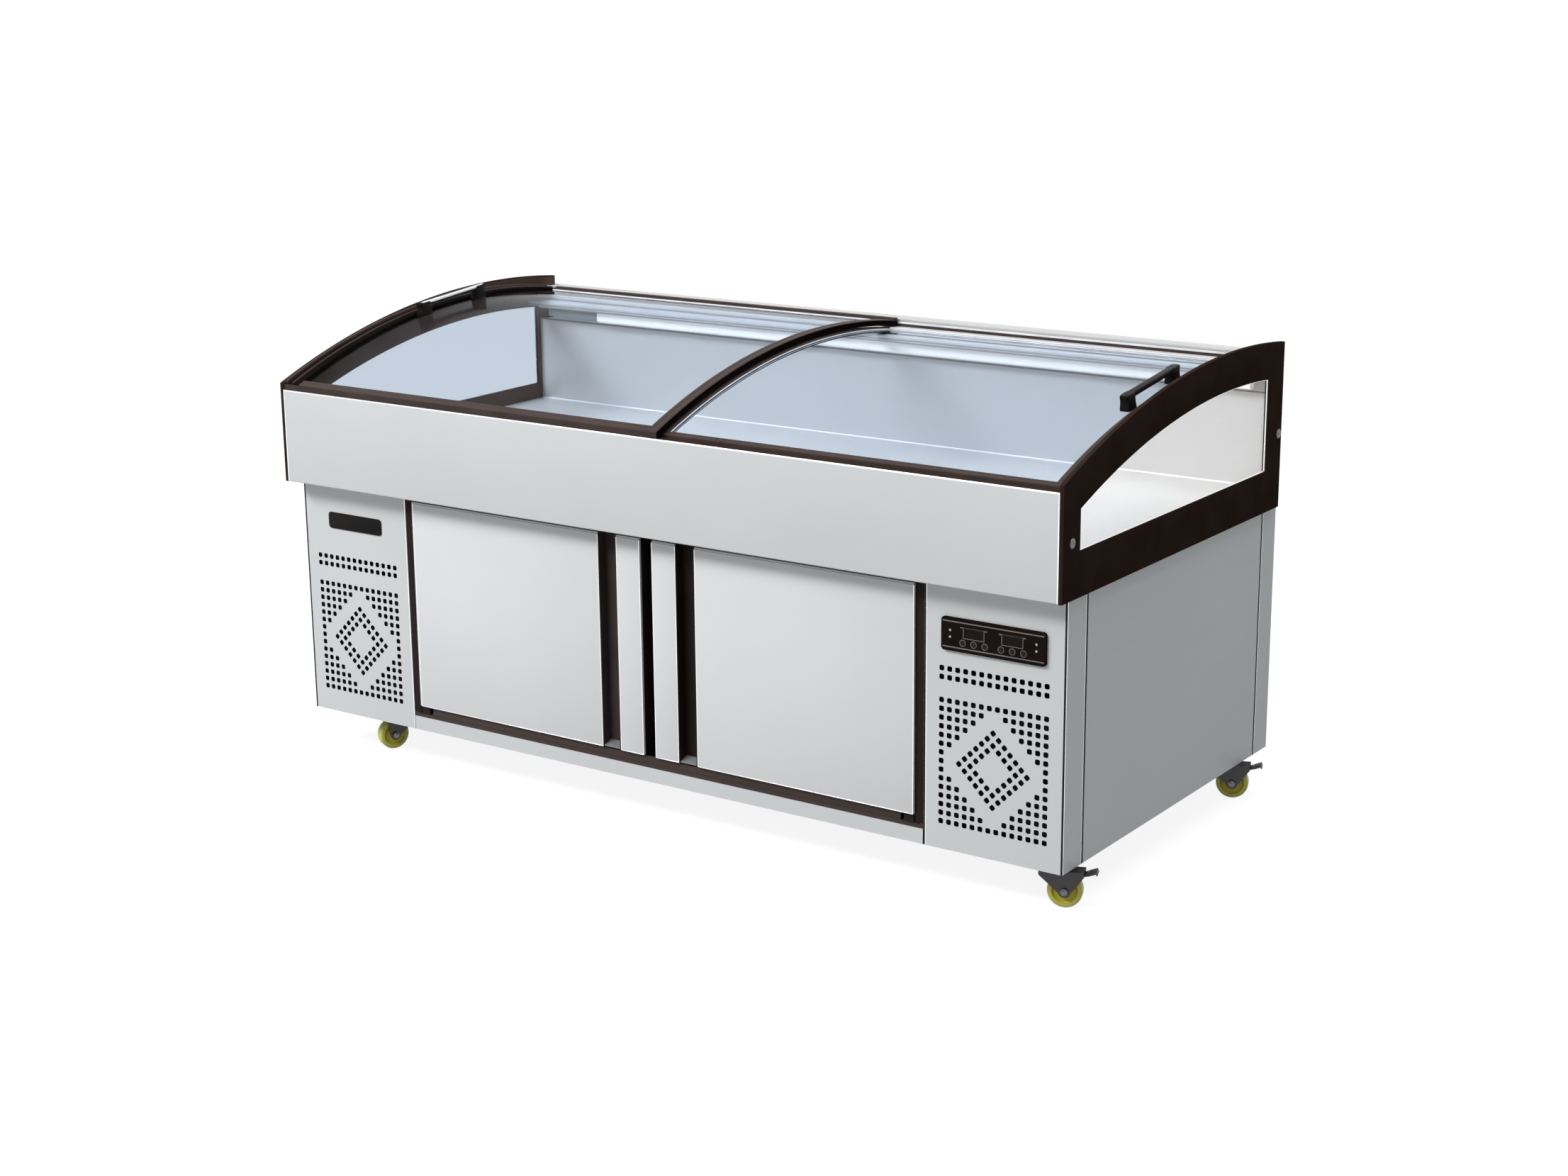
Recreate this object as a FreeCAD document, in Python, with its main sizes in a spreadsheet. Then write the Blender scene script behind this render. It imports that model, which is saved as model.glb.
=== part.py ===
import FreeCAD, Part
import math
import os
import re
import Sketcher

# A dual-temperature display case: a chilled basin under two sliding curved glass lids,
# over a cold cupboard with two hinged doors, between two machine bays, on four casters.
# Millimetres, +X to the right, +Y to the rear, +Z up, origin on the floor under the middle.

Vector = FreeCAD.Vector

# Driving sizes in millimetres, angles in degrees
SIZES = {
    # whole case
    "case_length": 1800,
    "case_depth": 880,
    "cabinet_height": 492,
    "cabinet_inset": 11,
    "fascia_overhang": 40,
    "fascia_height": 190,
    "sheet": 1.5,
    "fit_gap": 0.3,
    "running_clearance": 0.05,
    # cabinet skin
    "grille_width": 280,
    "grille_return": 14,
    "pan_height": 24,
    "front_post_width": 70,
    "rear_post_width": 61,
    "post_return": 30,
    "panel_return": 12,
    "panel_seam": 3,
    "rail_height": 28,
    # vent pattern
    "vent_side": 8.8,
    "vent_pitch": 16,
    "vent_columns": 14,
    "vent_upper_drop": 81,
    "vent_row_gap": 42,
    "vent_foot": 52,
    "vent_upper_rows": 2,
    "diamond_rings": 3,
    # cupboard and doors
    "frame_rim": 8,
    "frame_setback": 2,
    "frame_face": 12,
    "door_side_gap": 10.7,
    "door_foot_gap": 17,
    "door_head_gap": 4,
    "door_meeting_gap": 28,
    "door_proud": 4,
    "door_thickness": 40,
    "grip_strip": 56,
    "grip_width": 43,
    "grip_depth": 23,
    "grip_wall": 2,
    "gasket_inset": 14,
    "gasket_width": 12,
    "gasket_depth": 11.7,
    "mouth_margin": 4,
    "hinge_edge": 12,
    "hinge_setback": 10,
    "hinge_pin_radius": 4,
    "hinge_pin_reach": 15,
    "hinge_leaf_half": 10,
    "hinge_leaf_front": 5,
    "hinge_play": 1,
    "foam_wall": 46,
    "foam_rear": 58,
    # machine bays
    "compressor_radius": 68,
    "compressor_height": 165,
    "compressor_foot_radius": 54,
    "compressor_foot_height": 14,
    "compressor_dome_height": 41,
    "compressor_cap_radius": 31,
    "compressor_setback": 520,
    "shroud_margin": 4,
    "condenser_depth": 44,
    "condenser_height": 290,
    "condenser_setback": 20,
    "shroud_sheet": 3,
    "fan_radius": 98,
    "fan_tip_gap": 6,
    "fan_hub_radius": 24,
    "fan_hub_length": 20,
    "fan_setback": 12,
    "fan_blades": 5,
    "blade_root": 12,
    "blade_chord": 34,
    "blade_sheet": 2,
    "blade_pitch": 28,
    "shaft_radius": 4,
    "motor_radius": 32,
    "motor_length": 50,
    "motor_bar": 20,
    "motor_bar_sheet": 3,
    "coil_width": 600,
    "coil_depth": 46,
    "coil_height": 90,
    "chill_plate": 6,
    "chill_plate_margin": 70,
    # basin deck
    "deck_foam": 46,
    "basin_front_wall": 45,
    "basin_rear_wall": 60,
    "deck_setback": 10,
    "rail_foot": 9,
    "beam_foot": 11,
    # end frames
    "end_frame_thickness": 8,
    "end_frame_height": 333,
    "end_frame_setback": 14,
    "end_arc_radius": 1750,
    "end_arc_setback": 219,
    "window_foot": 81,
    "window_front_band": 60,
    "window_rear_band": 68,
    "window_top_band": 69,
    "window_rebate": 8,
    "pane_thickness": 4,
    "bolt_radius": 6,
    "bolt_crown": 3,
    "bolt_dome": 4,
    "bolt_front_inset": 30,
    "bolt_front_height": 100,
    "bolt_rear_inset": 16,
    "bolt_rear_height": 146,
    # lids and their rails
    "lid_radius": 1517,
    "lid_arc_setback": 296,
    "lid_crown_height": 318.4,
    "lid_thickness": 12,
    "lid_spacing": 3,
    "lid_glass": 4,
    "lid_stile": 24,
    "lid_bar": 18,
    "lid_bite": 8,
    "lid_end_gap": 2,
    "lid_front_inset": 3,
    "lid_track_step": 3,
    "left_lid_reach": 58,
    "lid_overlap": 18,
    "beam_depth": 100,
    "beam_stop": 20,
    "lid_rear_setback": 44,
    "lid_rear_step": 28,
    "light_inset": 20,
    "light_start": 164,
    "light_housing": 6,
    "light_tube": 22,
    "light_width": 22,
    "light_setback": 14,
    # lid handles
    "left_handle_gap": 24,
    "right_handle_gap": 1,
    "handle_foot_pitch": 172,
    "handle_foot": 30,
    "handle_length": 206,
    "handle_width": 20,
    "handle_bar": 10,
    "handle_tip": 3.5,
    "handle_slope": 6,
    "handle_height": 30,
    "left_handle_setback": 450,
    "right_handle_setback": 395,
    # controller and name plate
    "bezel_width": 206,
    "bezel_height": 60,
    "bezel_drop": 93,
    "bezel_thickness": 5,
    "bezel_corner": 6,
    "bezel_body_margin": 8,
    "bezel_body_depth": 26,
    "display_offset": 38,
    "display_width": 40,
    "display_height": 17,
    "display_rise": 5,
    "display_depth": 1.2,
    "lamp_radius": 2.2,
    "lamp_inset": 18,
    "lamp_pitch": 12,
    "lamp_rise": 1,
    "button_radius": 4.3,
    "button_gap": 0.15,
    "button_pitch": 22,
    "button_drop": 13,
    "button_proud": 1,
    "button_depth": 5,
    "button_well": 7,
    "plate_width": 146,
    "plate_height": 34,
    "plate_drop": 79,
    "plate_thickness": 2,
    "plate_corner": 7,
    # casters
    "wheel_radius": 31.5,
    "wheel_width": 22,
    "wheel_bore": 4,
    "wheel_hub": 9,
    "wheel_rim": 23,
    "wheel_dish": 3,
    "wheel_shoulder": 2.5,
    "caster_trail": 26,
    "fork_sheet": 3,
    "fork_side_gap": 1.5,
    "fork_top_gap": 3,
    "fork_nose": 20,
    "fork_tail": 16,
    "fork_pin_edge": 6,
    "fork_shoulder": 9,
    "fork_boss": 11,
    "fork_boss_drop": 2.8,
    "axle_head": 7,
    "axle_head_depth": 3,
    "swivel_pin": 5,
    "swivel_race": 20,
    "swivel_race_depth": 7.2,
    "swivel_head": 8,
    "swivel_head_depth": 3,
    "caster_plate_length": 76,
    "caster_plate_width": 60,
    "caster_plate_sheet": 3.5,
    "right_caster_inset": 49,
    "right_front_inset": 50,
    "right_rear_inset": 107,
    "left_caster_inset": 167,
    "left_front_inset": 86,
    "left_rear_inset": 86,
    "right_swivel_turn": 20,
    "left_swivel_turn": 245,
    "pedal_pin_radius": 2.5,
    "pedal_barrel": 5,
    "pedal_wheel_gap": 3,
    "pedal_length": 30,
    "pedal_lift": 20,
    "pedal_sheet": 3,
    "pedal_tread_width": 28,
    "pedal_tread_length": 19,
    # cable gland
    "gland_radius": 12,
    "gland_neck": 9,
    "gland_bore": 5.5,
    "gland_length": 16,
    "gland_nut_length": 8,
    "gland_height": 60,
    "gland_inset": 120,
}

# Places worked out from the driving sizes
PLACES = {
    "half_length": "case_length / 2",
    "deck_half": "half_length - end_frame_thickness",
    "cabinet_half": "half_length - cabinet_inset",
    "front_face": "-case_depth / 2",
    "rear_face": "case_depth / 2",
    "cabinet_front": "front_face + fascia_overhang",
    "deck_bottom": "ground_gap + cabinet_height",
    "fascia_top": "deck_bottom + fascia_height",
    "bay_half": "cabinet_half - grille_width",
    "bay_middle": "cabinet_half - grille_width / 2",
    "pan_top": "ground_gap + pan_height",
    "pan_front": "cabinet_front + grille_return",
    "back_sheet": "rear_face - sheet",
    "side_skin": "cabinet_half - sheet",
    "rail_top": "ground_gap + rail_height",
    # door frame, doors and cupboard
    "frame_half": "bay_half - fit_gap",
    "frame_front": "cabinet_front + frame_setback",
    "frame_seat": "door_back + gasket_depth + fit_gap",
    "frame_back": "frame_seat + frame_face",
    "door_outer": "frame_half - frame_rim - door_side_gap",
    "door_inner": "door_meeting_gap / 2",
    "door_bottom": "rail_top + frame_rim + door_foot_gap",
    "door_top": "deck_bottom - frame_rim - door_head_gap",
    "door_front": "cabinet_front - door_proud",
    "door_back": "door_front + door_thickness",
    "mouth_inset": "gasket_inset + gasket_width + mouth_margin",
    "mouth_outer": "door_outer - mouth_inset",
    "mouth_inner": "door_inner + mouth_inset",
    "mouth_bottom": "door_bottom + mouth_inset",
    "mouth_top": "door_top - mouth_inset",
    "cupboard_back": "back_sheet - foam_rear",
    "hinge_x": "door_outer - hinge_edge",
    "hinge_y": "door_front + hinge_setback",
    "grip_inner": "door_inner + grip_strip",
    "grip_outer": "grip_inner + grip_width",
    "grip_back": "door_front + grip_depth",
    # machine bays
    "pan_floor": "ground_gap + sheet",
    "condenser_half": "fan_radius + fan_tip_gap + shroud_margin",
    "condenser_front": "cabinet_front + condenser_setback",
    "condenser_back": "condenser_front + condenser_depth",
    "shroud_back": "condenser_back + shroud_sheet",
    "fan_height": "pan_floor + condenser_height / 2",
    "fan_front": "shroud_back + fan_setback",
    "fan_back": "fan_front + fan_hub_length",
    "motor_front": "fan_back + fan_setback",
    "motor_back": "motor_front + motor_length",
    "motor_bar_half": "fan_radius + fan_tip_gap + motor_bar_sheet",
    # basin deck
    "basin_front": "front_face + basin_front_wall",
    "deck_rear": "rear_face - deck_setback",
    "basin_rear": "deck_rear - basin_rear_wall",
    "basin_floor": "deck_bottom + deck_foam + sheet",
    "beam_front": "deck_rear - beam_depth",
    # end frames
    "end_rear": "rear_face - end_frame_setback",
    "end_arc_middle": "rear_face - end_arc_setback",
    "end_crown": "deck_bottom + end_frame_height",
    "window_bottom": "deck_bottom + window_foot",
    "window_front": "front_face + window_front_band",
    "window_rear": "end_rear - window_rear_band",
    "window_crown": "end_crown - window_top_band",
    "window_radius": "end_arc_radius - window_top_band",
    "pane_seat": "deck_half + pane_thickness",
    # lids
    "upper_crown": "deck_bottom + lid_crown_height",
    "lid_step": "lid_thickness + lid_spacing",
    "lower_crown": "upper_crown - lid_step",
    "lower_radius": "lid_radius - lid_step",
    "upper_lid_front": "front_face + lid_front_inset",
    "lower_lid_front": "upper_lid_front + lid_bar + lid_track_step",
    "upper_lid_rear": "deck_rear - lid_rear_setback",
    "lower_lid_rear": "upper_lid_rear - lid_rear_step",
    "lid_arc_middle": "rear_face - lid_arc_setback",
    "lid_end": "deck_half - lid_end_gap",
    "right_lid_start": "left_lid_reach - lid_overlap",
    "glass_sink": "(lid_thickness - lid_glass) / 2",
    "glass_end": "lid_end - lid_stile",
    "left_handle_x": "left_handle_gap + handle_width / 2 - glass_end",
    "right_handle_x": "glass_end - right_handle_gap - handle_width / 2",
    # controller
    "bezel_z": "deck_bottom - bezel_drop",
    "bezel_front": "cabinet_front - bezel_thickness",
    "vent_upper_z": "bezel_z - vent_upper_drop",
    "vent_low_z": "ground_gap + vent_foot",
    "vent_high_z": "vent_upper_z - vent_row_gap",
    "plate_z": "deck_bottom - plate_drop",
    # casters
    "fork_half": "wheel_width / 2 + fork_side_gap + fork_sheet",
    "fork_gap_half": "wheel_width / 2 + fork_side_gap",
    "fork_underside": "wheel_radius * 2 + fork_top_gap",
    "fork_top": "fork_underside + fork_sheet",
    "plate_bottom": "fork_top + fit_gap + swivel_race_depth",
    "ground_gap": "plate_bottom + caster_plate_sheet",
    # the pedal's pin stands behind and above the axle, at 45 degrees
    "pedal_swing": "wheel_radius + pedal_barrel + pedal_wheel_gap",
    "pedal_pin_x": "caster_trail + pedal_swing * sqrt(0.5)",
    "pedal_pin_z": "wheel_radius + pedal_swing * sqrt(0.5)",
    "plain_fork_tail": "caster_trail + fork_tail",
    "brake_fork_tail": "pedal_pin_x + fork_pin_edge",
}


def arc_height(crown, radius, middle, y):
    """Height over y of an arch that peaks at the crown above the middle."""
    return f"({crown}) - ({radius}) + sqrt(({radius})^2 - (({y}) - ({middle}))^2)"


def track_height(lid, edge):
    """Height of the rail under one edge of a lid, a hair below the lid's underside."""
    radius = "lid_radius" if lid == "upper" else "lower_radius"
    underside = arc_height(f"{lid}_crown - lid_thickness", f"{radius} - lid_thickness",
                           "lid_arc_middle", edge)
    return underside + " - fit_gap"


PLACES["upper_front_track"] = track_height("upper", "upper_lid_front")
PLACES["lower_front_track"] = track_height("lower", "lower_lid_front")
PLACES["upper_rear_track"] = track_height("upper", "upper_lid_rear")
PLACES["lower_rear_track"] = track_height("lower", "lower_lid_rear")
PLACES["rail_seat"] = "lower_front_track - rail_foot"
PLACES["beam_seat"] = "lower_rear_track - beam_foot"

doc = FreeCAD.newDocument("DisplayCase")
sheet = doc.addObject("Spreadsheet::Sheet", "Sizes")
for row, (alias, size) in enumerate(SIZES.items(), start=1):
    sheet.set(f"A{row}", alias)
    sheet.set(f"B{row}", str(size))
    sheet.setAlias(f"B{row}", alias)
doc.recompute()

WORD = re.compile(r"[A-Za-z_][A-Za-z_0-9]*")
nodes = []


def bound(formula):
    """Spell a formula of size and place names as an expression on the sheet's cells."""
    def swap(match):
        word = match.group()
        if word in PLACES:
            return "(" + bound(PLACES[word]) + ")"
        return "Sizes." + word if word in SIZES else word
    return WORD.sub(swap, str(formula))


def value(formula):
    """The number that a formula has now."""
    return float(sheet.evalExpression(bound(formula)))


def node(name, piece):
    """Name a finished sub-part, which is written to its own file."""
    piece.Label = name
    nodes.append(piece)
    return piece


def place(piece, x="0", y="0", z="0"):
    """Bind the place of a piece."""
    for axis, formula in zip("xyz", (x, y, z)):
        piece.setExpression(f"Placement.Base.{axis}", bound(formula))
    return piece


def box(name, x, y, z):
    """A block between the low and high formula of each direction."""
    piece = doc.addObject("Part::Box", name)
    for side, (low, high) in zip(("Length", "Width", "Height"), (x, y, z)):
        piece.setExpression(side, bound(f"({high}) - ({low})"))
    return place(piece, x[0], y[0], z[0])


# Turns that lay a cylinder along X, Y or Z
LAY = {
    "x": FreeCAD.Rotation(Vector(0, 1, 0), 90),
    "y": FreeCAD.Rotation(Vector(1, 0, 0), -90),
    "z": FreeCAD.Rotation(),
}


def rod(name, along, radius, length, start):
    """A round bar that runs from a start point along X, Y or Z."""
    piece = doc.addObject("Part::Cylinder", name)
    piece.Placement = FreeCAD.Placement(Vector(), LAY[along])
    piece.setExpression("Radius", bound(radius))
    piece.setExpression("Height", bound(length))
    return place(piece, *start)


def fuse(name, *pieces):
    """Join pieces into one."""
    piece = doc.addObject("Part::MultiFuse", name)
    piece.Shapes = list(pieces)
    return piece


def cut(name, base, *tools):
    """Take the tools out of a base."""
    piece = doc.addObject("Part::Cut", name)
    piece.Base = base
    piece.Tool = tools[0] if len(tools) == 1 else fuse(name + "_tools", *tools)
    return piece


def group(name, *pieces):
    """Keep separate solids together, each in its own place."""
    piece = doc.addObject("Part::Compound", name)
    piece.Links = list(pieces)
    return piece


def mirror(name, source):
    """The left-hand twin of a right-hand piece."""
    piece = doc.addObject("Part::Mirroring", name)
    piece.Source = source
    piece.Base = (0, 0, 0)
    piece.Normal = (1, 0, 0)
    return piece


def pair(name, right):
    """A right-hand piece and its left-hand twin as one group."""
    return group(name, right, mirror(name + "_twin", right))


def arc_between(start, end, radius):
    """The arc from start to end, swelling to its left, or to its right where the radius is negative."""
    chord = end - start
    rise = math.sqrt(max(radius * radius - chord.Length ** 2 / 4, 0))
    across = Vector(chord.y, -chord.x, 0).normalize()
    centre = (start + end) * 0.5 + across * math.copysign(rise, radius)
    first, last = (end, start) if radius > 0 else (start, end)
    angles = [math.atan2(point.y - centre.y, point.x - centre.x) for point in (first, last)]
    circle = Part.Circle(centre, Vector(0, 0, 1), abs(radius))
    return Part.ArcOfCircle(circle, angles[0], angles[1])


def draw(sketch, corners):
    """Draw a closed outline. A corner is (u, v), or (u, v, radius) where an arc leads to the next one."""
    points = [Vector(value(corner[0]), value(corner[1]), 0) for corner in corners]
    base = sketch.GeometryCount
    ends = []
    for index, corner in enumerate(corners):
        start, end = points[index], points[(index + 1) % len(points)]
        if len(corner) == 2:
            sketch.addGeometry(Part.LineSegment(start, end))
            ends.append((1, 2))
        else:
            radius = value(corner[2])
            sketch.addGeometry(arc_between(start, end, radius))
            ends.append((2, 1) if radius > 0 else (1, 2))
    for index, corner in enumerate(corners):
        edge = base + index
        before = base + (index - 1) % len(corners)
        sketch.addConstraint(Sketcher.Constraint(
            "Coincident", before, ends[index - 1][1], edge, ends[index][0]))
        here = points[index]
        for kind, letter, spot in (("DistanceX", "u", here.x), ("DistanceY", "v", here.y)):
            number = sketch.addConstraint(Sketcher.Constraint(kind, edge, ends[index][0], spot))
            sketch.renameConstraint(number, f"{letter}{edge}")
            sketch.setExpression(f"Constraints.{letter}{edge}", bound(corner["uv".index(letter)]))
        if len(corner) == 3:
            number = sketch.addConstraint(Sketcher.Constraint("Radius", edge, abs(value(corner[2]))))
            sketch.renameConstraint(number, f"r{edge}")
            sketch.setExpression(f"Constraints.r{edge}", bound(f"abs({corner[2]})"))


def sketch_in(body, plane, offset, *outlines):
    """A sketch on one of the body's own planes, set off along the plane's normal."""
    sketch = body.newObject("Sketcher::SketchObject", body.Name + "_sketch")
    origin_plane = next(face for face in body.Origin.OriginFeatures if face.Role == plane)
    sketch.AttachmentSupport = [(origin_plane, "")]
    sketch.MapMode = "FlatFace"
    sketch.setExpression("AttachmentOffset.Base.z", bound(offset))
    for corners in outlines:
        draw(sketch, corners)
    return sketch


def pad(body, plane, offset, length, *outlines):
    """Add an outline, with any holes in it, drawn out along the plane's normal."""
    feature = body.newObject("PartDesign::Pad", body.Name + "_pad")
    feature.Profile = sketch_in(body, plane, offset, *outlines)
    feature.setExpression("Length", bound(length))
    return feature


def new_body(name):
    return doc.addObject("PartDesign::Body", name)


def revolve(name, outline):
    """A body turned about its own Y axis from an outline of (along, radius) corners."""
    body = new_body(name)
    profile = sketch_in(body, "YZ_Plane", "0", outline)
    feature = body.newObject("PartDesign::Revolution", name + "_turn")
    feature.Profile = profile
    feature.ReferenceAxis = (profile, ["H_Axis"])
    feature.Angle = 360
    return body


def rounded(low_u, high_u, low_v, high_v, corner):
    """The outline of a rectangle with round corners."""
    return [
        (f"({high_u}) - ({corner})", low_v, f"-({corner})"), (high_u, f"({low_v}) + ({corner})"),
        (high_u, f"({high_v}) - ({corner})", f"-({corner})"), (f"({high_u}) - ({corner})", high_v),
        (f"({low_u}) + ({corner})", high_v, f"-({corner})"), (low_u, f"({high_v}) - ({corner})"),
        (low_u, f"({low_v}) + ({corner})", f"-({corner})"), (f"({low_u}) + ({corner})", low_v),
    ]


def both_ways(formula):
    """Low and high formula of a span centred on the middle of the case."""
    return (f"-({formula})", formula)


def make_cabinet_skin():
    """Base pan, corner posts, side and back panels, and the strip under the doors."""
    pan_span = both_ways("side_skin")
    node("bottom_pan", cut(
        "bottom_pan",
        box("pan_block", pan_span, ("pan_front", "back_sheet"), ("ground_gap", "pan_top")),
        box("pan_hollow", both_ways("side_skin - sheet"), ("pan_front + sheet", "back_sheet - sheet"),
            ("pan_floor", "pan_top + sheet"))))

    tall = ("ground_gap", "deck_bottom")
    post_span = ("cabinet_half - post_return", "cabinet_half")
    post_hollow = ("cabinet_half - post_return - sheet", "side_skin")
    front_seam = "cabinet_front + front_post_width"
    rear_seam = "rear_face - rear_post_width"
    above_pan = ("pan_top", "deck_bottom + sheet")
    beside_pan = ("ground_gap - sheet", "pan_top")
    front_post = cut(
        "front_post",
        box("front_post_block", post_span, ("cabinet_front", front_seam), tall),
        box("front_post_hollow", post_hollow, ("cabinet_front - sheet", f"{front_seam} - sheet"),
            above_pan),
        box("front_post_foot", post_hollow, ("cabinet_front - sheet", f"{front_seam} + sheet"),
            beside_pan))
    rear_post = cut(
        "rear_post",
        box("rear_post_block", post_span, (rear_seam, "back_sheet"), tall),
        box("rear_post_hollow", post_hollow, (f"{rear_seam} + sheet", "rear_face"), above_pan),
        box("rear_post_foot", post_hollow, (f"{rear_seam} - sheet", "rear_face"), beside_pan))
    node("corner_posts", group(
        "corner_posts", front_post, mirror("front_post_left", front_post),
        rear_post, mirror("rear_post_left", rear_post)))

    panel_y = (f"{front_seam} + panel_seam", f"{rear_seam} - panel_seam")
    panel_hollow = ("side_skin - panel_return - sheet", "side_skin")
    side_panel = cut(
        "side_panel",
        box("side_panel_block", ("side_skin - panel_return", "cabinet_half"), panel_y, tall),
        box("side_panel_hollow", panel_hollow, (f"{panel_y[0]} + sheet", f"{panel_y[1]} - sheet"),
            ("pan_top", "deck_bottom - sheet")),
        box("side_panel_foot", panel_hollow, (f"{panel_y[0]} - sheet", f"{panel_y[1]} + sheet"),
            beside_pan))
    node("side_panels", pair("side_panels", side_panel))

    cabinet_back = cut(
        "cabinet_back",
        box("cabinet_back_sheet", both_ways("cabinet_half"), ("back_sheet", "rear_face"), tall),
        rod("gland_hole", "y", "gland_neck + fit_gap", "sheet * 3",
            ("bay_half + gland_inset", "back_sheet - sheet", "ground_gap + gland_height")))
    deck_back = box("deck_back", both_ways("deck_half"), ("deck_rear - sheet", "deck_rear"),
                    ("deck_bottom", "beam_seat"))
    node("back_panels", group("back_panels", cabinet_back, deck_back))

    node("bottom_rail", cut(
        "bottom_rail",
        box("rail_block", both_ways("bay_half"), ("cabinet_front", "pan_front"),
            ("ground_gap", "rail_top")),
        box("rail_hollow", both_ways("bay_half - sheet"), ("cabinet_front + sheet", "pan_front + sheet"),
            ("ground_gap + sheet", "rail_top - sheet"))))


def square_hole(across, up, side, turned):
    """The wire of a square hole in the XZ plane about a point, flat or stood on a corner."""
    reach = side / math.sqrt(2)
    first = 0 if turned else 45
    angles = [math.radians(first + quarter * 90) for quarter in range(4)]
    corners = [Vector(across + reach * math.cos(a), 0, up + reach * math.sin(a)) for a in angles]
    return Part.makePolygon(corners + corners[:1])


def vent_holes(middle_x):
    """Square vents: long rows above a framed block with stepped corners and a diamond in its middle."""
    pitch, side = value("vent_pitch"), value("vent_side")
    columns = int(value("vent_columns"))
    lowest = value("vent_low_z")
    rows = int((value("vent_high_z") - lowest) / pitch + 0.001) + 1
    middle_z = lowest + (rows - 1) / 2 * pitch
    first_x = middle_x - (columns - 1) * pitch / 2
    first_z = middle_z - (rows - 1) * pitch / 2
    for row in range(rows):
        for column in range(columns):
            from_side = min(column, columns - 1 - column)
            from_end = min(row, rows - 1 - row)
            if from_side == 0 or from_end == 0 or from_side + from_end < columns // 2:
                yield square_hole(first_x + column * pitch, first_z + row * pitch, side, False)
    for row in range(int(value("vent_upper_rows"))):
        for column in range(columns):
            height = value("vent_upper_z") + row * pitch
            yield square_hole(first_x + column * pitch, height, side, False)
    rings = int(value("diamond_rings"))
    step = pitch / math.sqrt(2)
    for i in range(-rings, rings + 1):
        for j in range(-rings, rings + 1):
            if max(abs(i), abs(j)) >= rings - 1:
                yield square_hole(middle_x + (i + j) * step, middle_z + (i - j) * step, side, True)


def make_grille(name, hand, openings):
    """A front panel over a machine bay: a pierced sheet with its edges folded back."""
    low, high, front = value("bay_half"), value("side_skin"), value("cabinet_front")
    bottom, top = value("ground_gap"), value("deck_bottom")
    edges = sorted((hand * low, hand * high))
    corners = [Vector(edges[0], 0, bottom), Vector(edges[1], 0, bottom),
               Vector(edges[1], 0, top), Vector(edges[0], 0, top)]
    outer = Part.makePolygon(corners + corners[:1])
    holes = list(vent_holes(hand * value("bay_middle"))) + openings
    pierced = Part.makeFace([outer] + holes, "Part::FaceMakerBullseye")
    face = doc.addObject("Part::Feature", name + "_sheet")
    face.Shape = pierced.extrude(Vector(0, value("sheet"), 0))
    face.Placement = FreeCAD.Placement(Vector(0, front, 0), FreeCAD.Rotation())
    inner_side = ("bay_half", "bay_half + sheet")
    outer_side = ("side_skin - sheet", "side_skin")
    spans = (inner_side, outer_side) if hand > 0 else (
        ("-(bay_half) - sheet", "-(bay_half)"), ("-(side_skin)", "-(side_skin) + sheet"))
    folds = [box(f"{name}_fold_{number}", span, ("cabinet_front + sheet", "pan_front"),
                 ("ground_gap", "deck_bottom")) for number, span in enumerate(spans)]
    across = ("bay_half + sheet", "side_skin - sheet") if hand > 0 else (
        "-(side_skin) + sheet", "-(bay_half) - sheet")
    folds.append(box(f"{name}_fold_top", across, ("cabinet_front + sheet", "pan_front"),
                     ("deck_bottom - sheet", "deck_bottom")))
    node(name, fuse(name, face, *folds))


def make_grilles():
    """The left panel carries a plate, the right one has a cut-out for the controller."""
    half_x = value("bezel_width / 2 - bezel_body_margin + fit_gap")
    half_z = value("bezel_height / 2 - bezel_body_margin + fit_gap")
    middle_x, middle_z = value("bay_middle"), value("bezel_z")
    corners = [Vector(middle_x + i * half_x, 0, middle_z + j * half_z)
               for i, j in ((-1, -1), (1, -1), (1, 1), (-1, 1))]
    cutout = Part.makePolygon(corners + corners[:1])
    make_grille("left_grille", -1, [])
    make_grille("right_grille", 1, [cutout])


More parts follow.
